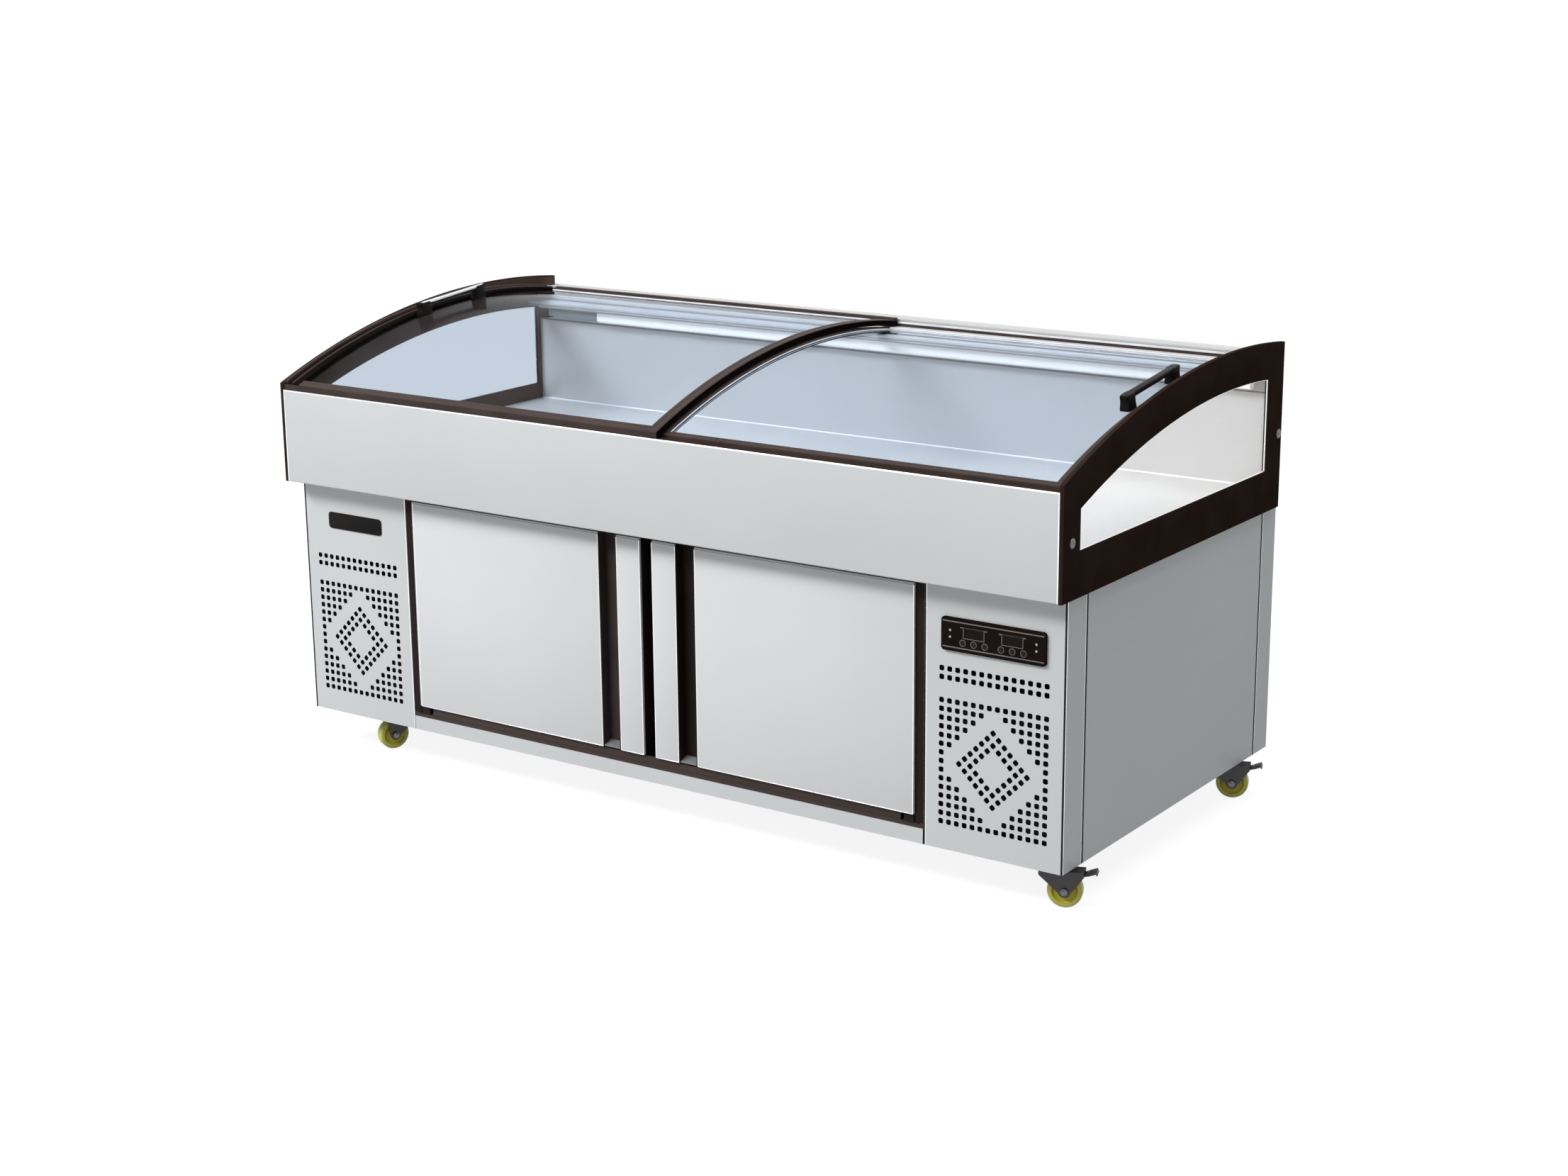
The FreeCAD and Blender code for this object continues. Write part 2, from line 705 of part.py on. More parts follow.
def make_cupboard():
    """Dark surround that the doors close on, the steel liner, and the foam here and under the basin."""
    sides = (("mouth_inner", "mouth_outer"), ("-(mouth_outer)", "-(mouth_inner)"))
    mouths = [box(f"mouth_{number}", span, ("frame_front", "frame_back + sheet"),
                  ("mouth_bottom", "mouth_top")) for number, span in enumerate(sides)]
    node("door_frame", cut(
        "door_frame",
        box("frame_block", both_ways("frame_half"), ("frame_front", "frame_back"),
            ("rail_top", "deck_bottom")),
        box("frame_recess", both_ways("frame_half - frame_rim"), ("frame_front - sheet", "frame_seat"),
            ("rail_top + frame_rim", "deck_bottom - frame_rim")),
        *mouths))
    node("storage_liner", cut(
        "storage_liner",
        box("liner_block", both_ways("mouth_outer + sheet"), ("frame_back", "cupboard_back + sheet"),
            ("mouth_bottom - sheet", "mouth_top + sheet")),
        box("liner_hollow", both_ways("mouth_outer"), ("frame_back - sheet", "cupboard_back"),
            ("mouth_bottom", "mouth_top"))))
    cupboard_foam = cut(
        "cupboard_foam",
        box("cupboard_foam_block", both_ways("mouth_outer + foam_wall"), ("frame_back", "back_sheet"),
            ("pan_top", "deck_bottom")),
        box("cupboard_foam_hollow", both_ways("mouth_outer + sheet"),
            ("frame_back - sheet", "cupboard_back + sheet"),
            ("mouth_bottom - sheet", "mouth_top + sheet")))
    everywhere = both_ways("half_length")
    deck_foam = cut(
        "deck_foam",
        box("deck_foam_block", both_ways("deck_half"), ("front_face + sheet", "deck_rear - sheet"),
            ("deck_bottom", "beam_seat")),
        box("deck_foam_basin", everywhere, ("basin_front - sheet", "basin_rear + sheet"),
            ("basin_floor - sheet", "beam_seat + sheet")),
        box("deck_foam_rail", everywhere, ("front_face", "basin_front"),
            ("rail_seat", "beam_seat + sheet")),
        box("deck_foam_flange", everywhere, ("front_face", "cabinet_front + frame_setback"),
            ("deck_bottom - sheet", "deck_bottom + sheet")),
        box("deck_foam_plate", both_ways("deck_half - chill_plate_margin"),
            ("basin_front + chill_plate_margin", "basin_rear - chill_plate_margin"),
            ("basin_floor - sheet - chill_plate", "basin_floor")))
    node("insulation", group("insulation", cupboard_foam, deck_foam))


def make_machine_bays():
    """Compressors, condensers with fan shrouds and motors, fans, and the two evaporators."""
    shell = revolve("compressor", [
        ("0", "0"), ("0", "compressor_foot_radius"), ("compressor_foot_height", "compressor_radius"),
        ("compressor_height - compressor_dome_height", "compressor_radius"),
        ("compressor_height", "compressor_cap_radius"), ("compressor_height", "0")])
    stood = group("compressor_right", shell)
    stood.Placement = FreeCAD.Placement(Vector(), FreeCAD.Rotation(Vector(1, 0, 0), 90))
    place(stood, "bay_middle", "cabinet_front + compressor_setback", "pan_floor")
    node("compressors", pair("compressors", stood))

    bay_span = ("bay_middle - condenser_half", "bay_middle + condenser_half")
    stack = ("pan_floor", "pan_floor + condenser_height")
    condenser = box("condenser", bay_span, ("condenser_front", "condenser_back"), stack)
    storage_coil = box("storage_coil", both_ways("coil_width / 2"),
                       ("cupboard_back - coil_depth", "cupboard_back"),
                       ("mouth_top - coil_height", "mouth_top"))
    basin_plate = box("basin_plate", both_ways("deck_half - chill_plate_margin"),
                      ("basin_front + chill_plate_margin", "basin_rear - chill_plate_margin"),
                      ("basin_floor - sheet - chill_plate", "basin_floor - sheet"))
    node("heat_exchangers", group(
        "heat_exchangers", condenser, mirror("condenser_left", condenser), storage_coil, basin_plate))

    axis_at = ("bay_middle", "0", "fan_height")
    shroud = cut(
        "fan_shroud",
        box("shroud_sheet_block", bay_span, ("condenser_back", "shroud_back"), stack),
        rod("shroud_hole", "y", "fan_radius + fan_tip_gap", "shroud_sheet * 3",
            (axis_at[0], "condenser_back - shroud_sheet", axis_at[2])))
    bar_span = ("bay_middle - motor_bar / 2", "bay_middle + motor_bar / 2")
    bracket = cut(
        "motor_bracket",
        box("bracket_block", bar_span, ("shroud_back", "motor_back + motor_bar_sheet"),
            ("fan_height - motor_bar_half", "fan_height + motor_bar_half")),
        box("bracket_gap", (f"{bar_span[0]} - sheet", f"{bar_span[1]} + sheet"),
            ("shroud_back - sheet", "motor_back"),
            ("fan_height - motor_bar_half + motor_bar_sheet",
             "fan_height + motor_bar_half - motor_bar_sheet")))
    motor = fuse(
        "fan_motor",
        rod("motor_can", "y", "motor_radius", "motor_length", (axis_at[0], "motor_front", axis_at[2])),
        rod("motor_shaft", "y", "shaft_radius", "motor_front - fan_front",
            (axis_at[0], "fan_front", axis_at[2])))
    right_unit = (shroud, bracket, motor)
    left_unit = [mirror(f"{piece.Name}_left", piece) for piece in right_unit]
    node("fan_motors", group("fan_motors", *right_unit, *left_unit))

    fan = make_fan()
    place(fan, "bay_middle", "fan_front", "fan_height")
    node("right_fan", fan)
    node("left_fan", mirror("left_fan", fan))


def make_fan():
    """A hub with pitched blades round it, turning about Y."""
    hub = rod("fan_hub", "y", "fan_hub_radius", "fan_hub_length", ("0", "0", "0"))
    blades = []
    count = int(value("fan_blades"))
    for number in range(count):
        blade = doc.addObject("Part::Box", f"fan_blade_{number}")
        blade.setExpression("Length", bound("fan_radius - blade_root"))
        blade.setExpression("Width", bound("blade_sheet"))
        blade.setExpression("Height", bound("blade_chord"))
        turn = FreeCAD.Rotation(Vector(0, 1, 0), 360 / count * number)
        pitch = FreeCAD.Rotation(Vector(1, 0, 0), value("blade_pitch") - 90)
        spot = Vector(value("blade_root"), value("fan_hub_length / 2"), 0)
        middle = Vector(0, value("blade_sheet / 2"), value("blade_chord / 2"))
        corner = turn.multVec(spot - pitch.multVec(middle))
        blade.Placement = FreeCAD.Placement(corner, turn.multiply(pitch))
        blades.append(blade)
    rotor = fuse("fan_rotor", hub, *blades)
    bore = rod("fan_bore", "y", "shaft_radius + running_clearance", "fan_hub_length * 2",
               ("0", "-fan_hub_length / 2", "0"))
    return cut("fan", rotor, bore)


def make_basin_deck():
    """Steel basin, the front fascia, and the rails that the lids slide on."""
    node("display_basin", cut(
        "display_basin",
        box("basin_block", both_ways("deck_half"), ("basin_front - sheet", "basin_rear + sheet"),
            ("basin_floor - sheet", "beam_seat")),
        box("basin_hollow", both_ways("half_length"), ("basin_front", "basin_rear"),
            ("basin_floor", "beam_seat + sheet")),
        box("basin_front_edge", both_ways("half_length"), ("front_face", "basin_front"),
            ("rail_seat", "beam_seat + sheet"))))
    node("front_fascia", cut(
        "front_fascia",
        box("fascia_block", both_ways("deck_half"), ("front_face", "cabinet_front + frame_setback"),
            ("deck_bottom", "fascia_top")),
        box("fascia_hollow", both_ways("half_length"),
            ("front_face + sheet", "cabinet_front + front_post_width"),
            ("deck_bottom + sheet", "fascia_top + sheet"))))

    rail = new_body("front_rail")
    step = "lower_lid_front - lid_track_step / 2"
    pad(rail, "YZ_Plane", "-(deck_half)", "deck_half * 2", [
        ("front_face + sheet", "rail_seat"), ("basin_front", "rail_seat"),
        ("basin_front", "lower_front_track"), (step, "lower_front_track"),
        (step, "upper_front_track"), ("front_face + sheet", "upper_front_track")])
    node("front_rail", rail)

    beam = new_body("rear_beam")
    step = "lower_lid_rear + lid_track_step"
    stop = "upper_lid_rear + lid_track_step"
    pad(beam, "YZ_Plane", "-(deck_half)", "deck_half * 2", [
        ("beam_front", "beam_seat"), ("deck_rear", "beam_seat"),
        ("deck_rear", "upper_rear_track + beam_stop"), (stop, "upper_rear_track + beam_stop"),
        (stop, "upper_rear_track"), (step, "upper_rear_track"),
        (step, "lower_rear_track"), ("beam_front", "lower_rear_track")])
    node("rear_beam", beam)

    light_y = ("beam_front + light_setback", "beam_front + light_setback + light_width")
    housing = box("light_housing_bar", both_ways("deck_half - light_inset"), light_y,
                  ("beam_seat - light_housing", "beam_seat"))
    tube = box("light_tube_bar", ("light_start - deck_half", "deck_half - light_inset"),
               (f"{light_y[0]} + sheet", f"{light_y[1]} - sheet"),
               ("beam_seat - light_housing - light_tube", "beam_seat - light_housing"))
    node("light_strip", group("light_strip", housing, tube))


def arched(front, rear, bottom, crown, radius):
    """An outline in the YZ plane with a flat foot and an arched top."""
    return [(front, bottom), (rear, bottom),
            (rear, arc_height(crown, radius, "end_arc_middle", rear), f"-({radius})"),
            (front, arc_height(crown, radius, "end_arc_middle", front))]


def make_ends():
    """Dark end frames with a window each, the panes in their rebates, and the bolts."""
    outer = arched("front_face", "end_rear", "deck_bottom", "end_crown", "end_arc_radius")
    window = arched("window_front", "window_rear", "window_bottom", "window_crown", "window_radius")
    rebate = arched("window_front - window_rebate", "window_rear + window_rebate",
                    "window_bottom - window_rebate", "window_crown + window_rebate",
                    "window_radius + window_rebate")
    margin = "(window_rebate - fit_gap)"
    pane = arched(f"window_front - {margin}", f"window_rear + {margin}", f"window_bottom - {margin}",
                  f"window_crown + {margin}", f"window_radius + {margin}")
    frame = new_body("right_end_frame")
    pad(frame, "YZ_Plane", "deck_half", "pane_thickness", outer, rebate)
    pad(frame, "YZ_Plane", "pane_seat", "end_frame_thickness - pane_thickness", outer, window)
    node("right_end_frame", frame)
    node("left_end_frame", mirror("left_end_frame", frame))
    glass = new_body("right_end_glass")
    pad(glass, "YZ_Plane", "deck_half", "pane_thickness", pane)
    node("end_glasses", pair("end_glasses", glass))

    heads = []
    spots = (("front_face + bolt_front_inset", "deck_bottom + bolt_front_height"),
             ("end_rear - bolt_rear_inset", "deck_bottom + bolt_rear_height"))
    for number, (y, z) in enumerate(spots):
        dome = doc.addObject("Part::Cone", f"bolt_dome_{number}")
        dome.Placement = FreeCAD.Placement(Vector(), LAY["x"])
        dome.setExpression("Radius1", bound("bolt_radius"))
        dome.setExpression("Radius2", bound("bolt_crown"))
        dome.setExpression("Height", bound("bolt_dome"))
        place(dome, "half_length", y, z)
        heads.append(dome)
    twins = [mirror(f"{head.Name}_left", head) for head in heads]
    node("end_bolts", group("end_bolts", *heads, *twins))


def lid_band(name, start, end, front, rear, crown, radius, thickness):
    """A curved slab between two ends, its arch centred over the lids' middle."""
    inner = f"({radius}) - ({thickness})"
    low_crown = f"({crown}) - ({thickness})"
    body = new_body(name)
    pad(body, "YZ_Plane", start, f"({end}) - ({start})", [
        (front, arc_height(low_crown, inner, "lid_arc_middle", front), inner),
        (rear, arc_height(low_crown, inner, "lid_arc_middle", rear)),
        (rear, arc_height(crown, radius, "lid_arc_middle", rear), f"-({radius})"),
        (front, arc_height(crown, radius, "lid_arc_middle", front))])
    return body


def make_lid(hand, start, end, front, rear, crown, radius, handle_x, handle_y):
    """A sliding lid: a curved frame, its glass held in a groove, and a bridge handle on the glass."""
    glass_crown = f"({crown}) - glass_sink"
    glass_radius = f"({radius}) - glass_sink"
    slab = lid_band(f"{hand}_lid_slab", start, end, front, rear, crown, radius, "lid_thickness")
    opening = box(f"{hand}_lid_opening", (f"({start}) + lid_stile", f"({end}) - lid_stile"),
                  (f"({front}) + lid_bar", f"({rear}) - lid_bar"),
                  ("deck_bottom", "deck_bottom + lid_crown_height * 2"))
    bite = "(lid_stile - lid_bite)"
    bar_bite = "(lid_bar - lid_bite)"
    groove = lid_band(f"{hand}_lid_groove",
                      f"({start}) + {bite} - fit_gap", f"({end}) - {bite} + fit_gap",
                      f"({front}) + {bar_bite} - fit_gap", f"({rear}) - {bar_bite} + fit_gap",
                      f"{glass_crown} + fit_gap", f"{glass_radius} + fit_gap", "lid_glass + fit_gap * 2")
    node(f"{hand}_lid_frame", cut(f"{hand}_lid_frame", slab, opening, groove))
    node(f"{hand}_lid_glass", lid_band(
        f"{hand}_lid_glass", f"({start}) + {bite}", f"({end}) - {bite}", f"({front}) + {bar_bite}",
        f"({rear}) - {bar_bite}", glass_crown, glass_radius, "lid_glass"))

    handle = new_body(f"{hand}_lid_bridge")
    foot_in = "handle_foot_pitch / 2 - handle_foot / 2"
    foot_out = "handle_foot_pitch / 2 + handle_foot / 2"
    under = "handle_height - handle_bar"
    tip = f"{under} + handle_tip"
    flat = "handle_length / 2 - handle_slope"
    pad(handle, "YZ_Plane", "-handle_width / 2", "handle_width", [
        (f"-({foot_out})", "0"), (f"-({foot_in})", "0"), (f"-({foot_in})", under), (foot_in, under),
        (foot_in, "0"), (foot_out, "0"), (foot_out, under), ("handle_length / 2", tip),
        (flat, "handle_height"), (f"-({flat})", "handle_height"),
        ("-handle_length / 2", tip), (f"-({foot_out})", under)])
    seats = [arc_height(glass_crown, glass_radius, "lid_arc_middle", f"({handle_y}) {sign} ({foot_in})")
             for sign in "-+"]
    seated = group(f"{hand}_lid_handle", handle)
    seated.Placement = FreeCAD.Placement(Vector(), FreeCAD.Rotation(Vector(1, 0, 0), 1))
    seated.setExpression("Placement.Rotation.Angle",
                         bound(f"atan((({seats[1]}) - ({seats[0]})) / (({foot_in}) * 2))"))
    place(seated, handle_x, handle_y, f"(({seats[0]}) + ({seats[1]})) / 2 + fit_gap")
    node(f"{hand}_lid_handle", seated)


def make_lids():
    """The left lid runs over the right one."""
    make_lid("left", "-(lid_end)", "left_lid_reach", "upper_lid_front", "upper_lid_rear", "upper_crown",
             "lid_radius", "left_handle_x", "front_face + left_handle_setback")
    make_lid("right", "right_lid_start", "lid_end", "lower_lid_front", "lower_lid_rear", "lower_crown",
             "lower_radius", "right_handle_x", "front_face + right_handle_setback")


def make_doors():
    """Right door as skin, core, grip channel and gasket, its hinges, and the left-hand twins."""
    across = ("door_inner", "door_outer")
    tall = ("door_bottom", "door_top")
    within = ("door_inner + sheet", "door_outer - sheet")
    tall_within = ("door_bottom + sheet", "door_top - sheet")
    grip_span = ("grip_inner", "grip_outer")
    pin_well = "hinge_pin_reach + hinge_play"
    foot_bore = ("hinge_x", "hinge_y", "door_bottom - sheet")
    head_bore = ("hinge_x", "hinge_y", f"door_top - ({pin_well})")
    bore_length = f"{pin_well} + sheet"
    skin = cut(
        "right_door_skin",
        box("skin_block", across, ("door_front", "door_back - sheet"), tall),
        box("skin_hollow", within, ("door_front + sheet", "door_back"), tall_within),
        box("skin_slot", grip_span, ("door_front - sheet", "door_front + sheet * 2"), tall_within),
        rod("skin_foot_hole", "z", "hinge_pin_radius + fit_gap", bore_length, foot_bore),
        rod("skin_head_hole", "z", "hinge_pin_radius + fit_gap", bore_length, head_bore))
    core = cut(
        "right_door_core",
        box("core_block", within, ("door_front + sheet", "door_back"), tall_within),
        box("core_groove", grip_span, ("door_front", "grip_back"), tall),
        rod("core_foot_bore", "z", "hinge_pin_radius + running_clearance", bore_length, foot_bore),
        rod("core_head_bore", "z", "hinge_pin_radius + running_clearance", bore_length, head_bore))
    grip = cut(
        "right_door_grip",
        box("grip_block", grip_span, ("door_front", "grip_back"), tall_within),
        box("grip_hollow", ("grip_inner + grip_wall", "grip_outer - grip_wall"),
            ("door_front - sheet", "grip_back - grip_wall"), tall))
    ring_x = ("door_inner + gasket_inset", "door_outer - gasket_inset")
    ring_z = ("door_bottom + gasket_inset", "door_top - gasket_inset")
    gasket = cut(
        "right_door_gasket",
        box("gasket_block", ring_x, ("door_back", "frame_seat - fit_gap"), ring_z),
        box("gasket_hole", (f"{ring_x[0]} + gasket_width", f"{ring_x[1]} - gasket_width"),
            ("door_front", "frame_back"),
            (f"{ring_z[0]} + gasket_width", f"{ring_z[1]} - gasket_width")))
    for piece in (skin, core, grip, gasket):
        name = piece.Name
        node(name, piece)
        left = name.replace("right", "left")
        node(left, mirror(left, piece))

    leaf_x = ("hinge_x - hinge_leaf_half", "hinge_x + hinge_leaf_half")
    leaf_y = ("hinge_y - hinge_leaf_front", "frame_seat")
    foot = fuse(
        "foot_hinge",
        box("foot_leaf", leaf_x, leaf_y, ("rail_top + frame_rim", "door_bottom - hinge_play")),
        rod("foot_pin", "z", "hinge_pin_radius", "hinge_play + hinge_pin_reach",
            ("hinge_x", "hinge_y", "door_bottom - hinge_play")))
    head = fuse(
        "head_hinge",
        box("head_leaf", leaf_x, leaf_y, ("door_top + hinge_play", "deck_bottom - frame_rim")),
        rod("head_pin", "z", "hinge_pin_radius", "hinge_play + hinge_pin_reach",
            ("hinge_x", "hinge_y", "door_top - hinge_pin_reach")))
    node("door_hinges", group("door_hinges", foot, head, mirror("foot_hinge_left", foot),
                              mirror("head_hinge_left", head)))


def make_controls():
    """Controller with three buttons under each of two displays, and the bare plate on the left panel."""
    body = new_body("bezel_body")
    low_x, high_x = "bay_middle - bezel_width / 2", "bay_middle + bezel_width / 2"
    low_z, high_z = "bezel_z - bezel_height / 2", "bezel_z + bezel_height / 2"
    pad(body, "XZ_Plane", "-(cabinet_front)", "bezel_thickness",
        rounded(low_x, high_x, low_z, high_z, "bezel_corner"))
    back = box("bezel_back", (f"{low_x} + bezel_body_margin", f"{high_x} - bezel_body_margin"),
               ("cabinet_front", "cabinet_front + bezel_body_depth"),
               (f"{low_z} + bezel_body_margin", f"{high_z} - bezel_body_margin"))
    wells, lights = [], []
    number = 0
    for side in "-+":
        middle = f"bay_middle {side} display_offset"
        span = (f"{middle} - display_width / 2", f"{middle} + display_width / 2")
        rise = ("bezel_z + display_rise - display_height / 2",
                "bezel_z + display_rise + display_height / 2")
        mark = "left" if side == "-" else "right"
        wells.append(box(f"display_well_{mark}", span,
                         ("bezel_front - sheet", "bezel_front + display_depth"), rise))
        lights.append(box(f"display_{mark}", span,
                          ("bezel_front", "bezel_front + display_depth"), rise))
        for step in (-1, 0, 1):
            number += 1
            spot = f"{middle} + ({step}) * button_pitch"
            height = "bezel_z - button_drop"
            wells.append(rod(f"button_well_{number}", "y", "button_radius + button_gap",
                             "button_well + sheet", (spot, "bezel_front - sheet", height)))
            node(f"button_{number}", rod(
                f"button_{number}", "y", "button_radius", "button_depth + button_proud",
                (spot, "bezel_front - button_proud", height)))
        lamp_x = f"bay_middle {side} (bezel_width / 2 - lamp_inset)"
        for level in (-1, 1):
            height = f"bezel_z + lamp_rise + ({level}) * lamp_pitch / 2"
            wells.append(rod(f"lamp_well_{mark}_{level + 1}", "y", "lamp_radius", "display_depth + sheet",
                             (lamp_x, "bezel_front - sheet", height)))
            lights.append(rod(f"lamp_{mark}_{level + 1}", "y", "lamp_radius", "display_depth",
                              (lamp_x, "bezel_front", height)))
    node("control_bezel", cut("control_bezel", fuse("bezel_whole", body, back), *wells))
    node("control_displays", group("control_displays", *lights))

    plate = new_body("name_plate")
    middle = "-(bay_middle)"
    pad(plate, "XZ_Plane", "-(cabinet_front)", "plate_thickness", rounded(
        f"{middle} - plate_width / 2", f"{middle} + plate_width / 2",
        "plate_z - plate_height / 2", "plate_z + plate_height / 2", "plate_corner"))
    node("name_plate", plate)


def make_fork(name, tail):
    """A stamped fork about its swivel axis, with the axle across its legs, trailing along X."""
    body = new_body(f"{name}_blank")
    boss_low = "wheel_radius - fork_boss_drop"
    boss_side = "sqrt(fork_boss^2 - fork_boss_drop^2)"
    pad(body, "XZ_Plane", "-(fork_half)", "fork_half * 2", [
        ("-fork_nose", "fork_top"), ("-fork_nose", "fork_top - fork_shoulder"),
        (f"caster_trail - {boss_side}", boss_low, "-fork_boss"),
        (f"caster_trail + {boss_side}", boss_low),
        (tail, "fork_top - fork_shoulder"), (tail, "fork_top")])
    long_way = ("-fork_nose * 2", f"({tail}) * 2")
    tools = [
        box(f"{name}_gap", long_way, both_ways("fork_gap_half"), ("0", "fork_underside")),
        rod(f"{name}_axle_hole", "y", "wheel_bore + running_clearance", "fork_half * 4",
            ("caster_trail", "-(fork_half) * 2", "wheel_radius")),
        rod(f"{name}_swivel_hole", "z", "swivel_pin + running_clearance", "fork_sheet * 3",
            ("0", "0", "fork_underside - fork_sheet"))]
    axle = fuse(
        f"{name}_axle",
        rod(f"{name}_axle_bar", "y", "wheel_bore", "fork_half * 2",
            ("caster_trail", "-(fork_half)", "wheel_radius")),
        rod(f"{name}_axle_head", "y", "axle_head", "axle_head_depth",
            ("caster_trail", "-(fork_half) - axle_head_depth", "wheel_radius")),
        rod(f"{name}_axle_nut", "y", "axle_head", "axle_head_depth",
            ("caster_trail", "fork_half", "wheel_radius")))
    extras = [axle]
    if tail == "brake_fork_tail":
        tools.append(rod(f"{name}_pedal_hole", "y", "pedal_pin_radius + running_clearance",
                         "fork_half * 4", ("pedal_pin_x", "-(fork_half) * 2", "pedal_pin_z")))
        extras.append(rod(f"{name}_pedal_pin", "y", "pedal_pin_radius", "fork_half * 2",
                          ("pedal_pin_x", "-(fork_half)", "pedal_pin_z")))
    return [cut(f"{name}_shell", body, *tools)] + extras


def make_pedal():
    """Brake pedal about a pin across the fork, its tread lifted."""
    inner = both_ways("fork_gap_half - fit_gap * 2")
    level = both_ways("pedal_sheet / 2")
    barrel = rod("pedal_barrel_bar", "y", "pedal_barrel", f"({inner[1]}) * 2", ("0", inner[0], "0"))
    arm = box("pedal_arm", ("0", "pedal_length"), inner, level)
    tread = box("pedal_tread", ("pedal_length - pedal_tread_length", "pedal_length"),
                both_ways("pedal_tread_width / 2"), level)
    bore = rod("pedal_bore", "y", "pedal_pin_radius + running_clearance", "fork_half * 4",
               ("0", "-(fork_half) * 2", "0"))
    level_pedal = cut("level_pedal", fuse("pedal_whole", barrel, arm, tread), bore)
    pedal = group("pedal", level_pedal)
    pedal.Placement = FreeCAD.Placement(Vector(), FreeCAD.Rotation(Vector(0, -1, 0), 1))
    pedal.setExpression("Placement.Rotation.Angle", bound("pedal_lift"))
    return place(pedal, "pedal_pin_x", "0", "pedal_pin_z")


def swivelled(name, turn, x, y, pieces):
    """Pieces of one caster, turned about its swivel and set under the case."""
    piece = group(name, *pieces)
    piece.Placement = FreeCAD.Placement(Vector(), FreeCAD.Rotation(Vector(0, 0, 1), 1))
    piece.setExpression("Placement.Rotation.Angle", bound(turn))
    return place(piece, x, y)


def make_casters():
    """Four swivel casters: braked on the right, plain on the left."""
    half = "wheel_width / 2"
    bore = "wheel_bore + running_clearance"
    tread = "wheel_radius"
    shoulder = f"{tread} - wheel_shoulder"
    wheel = revolve("caster_wheel", [
        (f"-{half}", bore), (f"-{half}", "wheel_hub"),
        (f"-{half} + wheel_dish", "wheel_hub + wheel_dish"),
        (f"-{half} + wheel_dish", "wheel_rim - wheel_dish"), (f"-{half}", "wheel_rim"),
        (f"-{half}", shoulder, "wheel_shoulder"), (f"-{half} + wheel_shoulder", tread),
        (f"{half} - wheel_shoulder", tread, "wheel_shoulder"), (half, shoulder),
        (half, "wheel_rim"), (f"{half} - wheel_dish", "wheel_rim - wheel_dish"),
        (f"{half} - wheel_dish", "wheel_hub + wheel_dish"), (half, "wheel_hub"), (half, bore)])
    place(wheel, "caster_trail", "0", "wheel_radius")
    forks = {"right": make_fork("brake_fork", "brake_fork_tail"),
             "left": make_fork("plain_fork", "plain_fork_tail")}
    pedal = make_pedal()
    bearing = fuse(
        "caster_bearing",
        box("caster_plate", both_ways("caster_plate_length / 2"), both_ways("caster_plate_width / 2"),
            ("plate_bottom", "ground_gap")),
        rod("caster_race", "z", "swivel_race", "plate_bottom - fork_top - fit_gap",
            ("0", "0", "fork_top + fit_gap")),
        rod("caster_pin", "z", "swivel_pin", "plate_bottom - fork_underside",
            ("0", "0", "fork_underside")),
        rod("caster_pin_head", "z", "swivel_head", "swivel_head_depth",
            ("0", "0", "fork_underside - fit_gap - swivel_head_depth")),
        rod("caster_pin_neck", "z", "swivel_pin", "fit_gap", ("0", "0", "fork_underside - fit_gap")))
    plates = []
    hands = {"left": "left_caster_inset - cabinet_half", "right": "cabinet_half - right_caster_inset"}
    for end, line in (("front", "cabinet_front +"), ("rear", "rear_face -")):
        for hand, x in hands.items():
            y = f"{line} {hand}_{end}_inset"
            pieces = {"fork": forks[hand], "wheel": [wheel]}
            if hand == "right":
                pieces["pedal"] = [pedal]
            for kind, solids in pieces.items():
                name = f"{end}_{hand}_{kind}"
                node(name, swivelled(name, f"{hand}_swivel_turn", x, y, solids))
            plates.append(place(group(f"{end}_{hand}_plate", bearing), x, y))
    node("caster_plates", group("caster_plates", *plates))


def make_gland():
    """Cable gland in the back of the right machine bay."""
    spot = ("bay_half + gland_inset", "ground_gap + gland_height")
    start = "back_sheet - gland_length"
    body = fuse(
        "gland_body",
        rod("gland_neck_bar", "y", "gland_neck", "gland_length + sheet", (spot[0], start, spot[1])),
        rod("gland_nut", "y", "gland_radius", "gland_nut_length",
            (spot[0], "back_sheet - gland_nut_length", spot[1])))
    bore = rod("gland_bore_bar", "y", "gland_bore", "gland_length * 3",
               (spot[0], f"{start} - gland_length", spot[1]))
    node("cable_gland", cut("cable_gland", body, bore))


make_cabinet_skin()
make_grilles()
make_cupboard()
make_machine_bays()
make_basin_deck()
make_ends()
make_lids()
make_doors()
make_controls()
make_casters()
make_gland()
doc.recompute()

faults = [item.Name for item in doc.Objects if "Invalid" in item.State or "Error" in item.State]
faults += [piece.Label for piece in nodes
           if piece.Shape.isNull() or not piece.Shape.isValid() or not piece.Shape.Solids]
if faults:
    raise RuntimeError("these did not build: " + ", ".join(faults))

os.makedirs("parts", exist_ok=True)
for piece in nodes:
    piece.Shape.exportStep(f"parts/{piece.Label}.step")
    print(piece.Label, len(piece.Shape.Solids), round(piece.Shape.Volume))
print(len(nodes), "nodes")
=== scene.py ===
import math

import bpy
import numpy as np
from bpy.props import FloatProperty, FloatVectorProperty, IntProperty, PointerProperty
from mathutils import Matrix, Vector


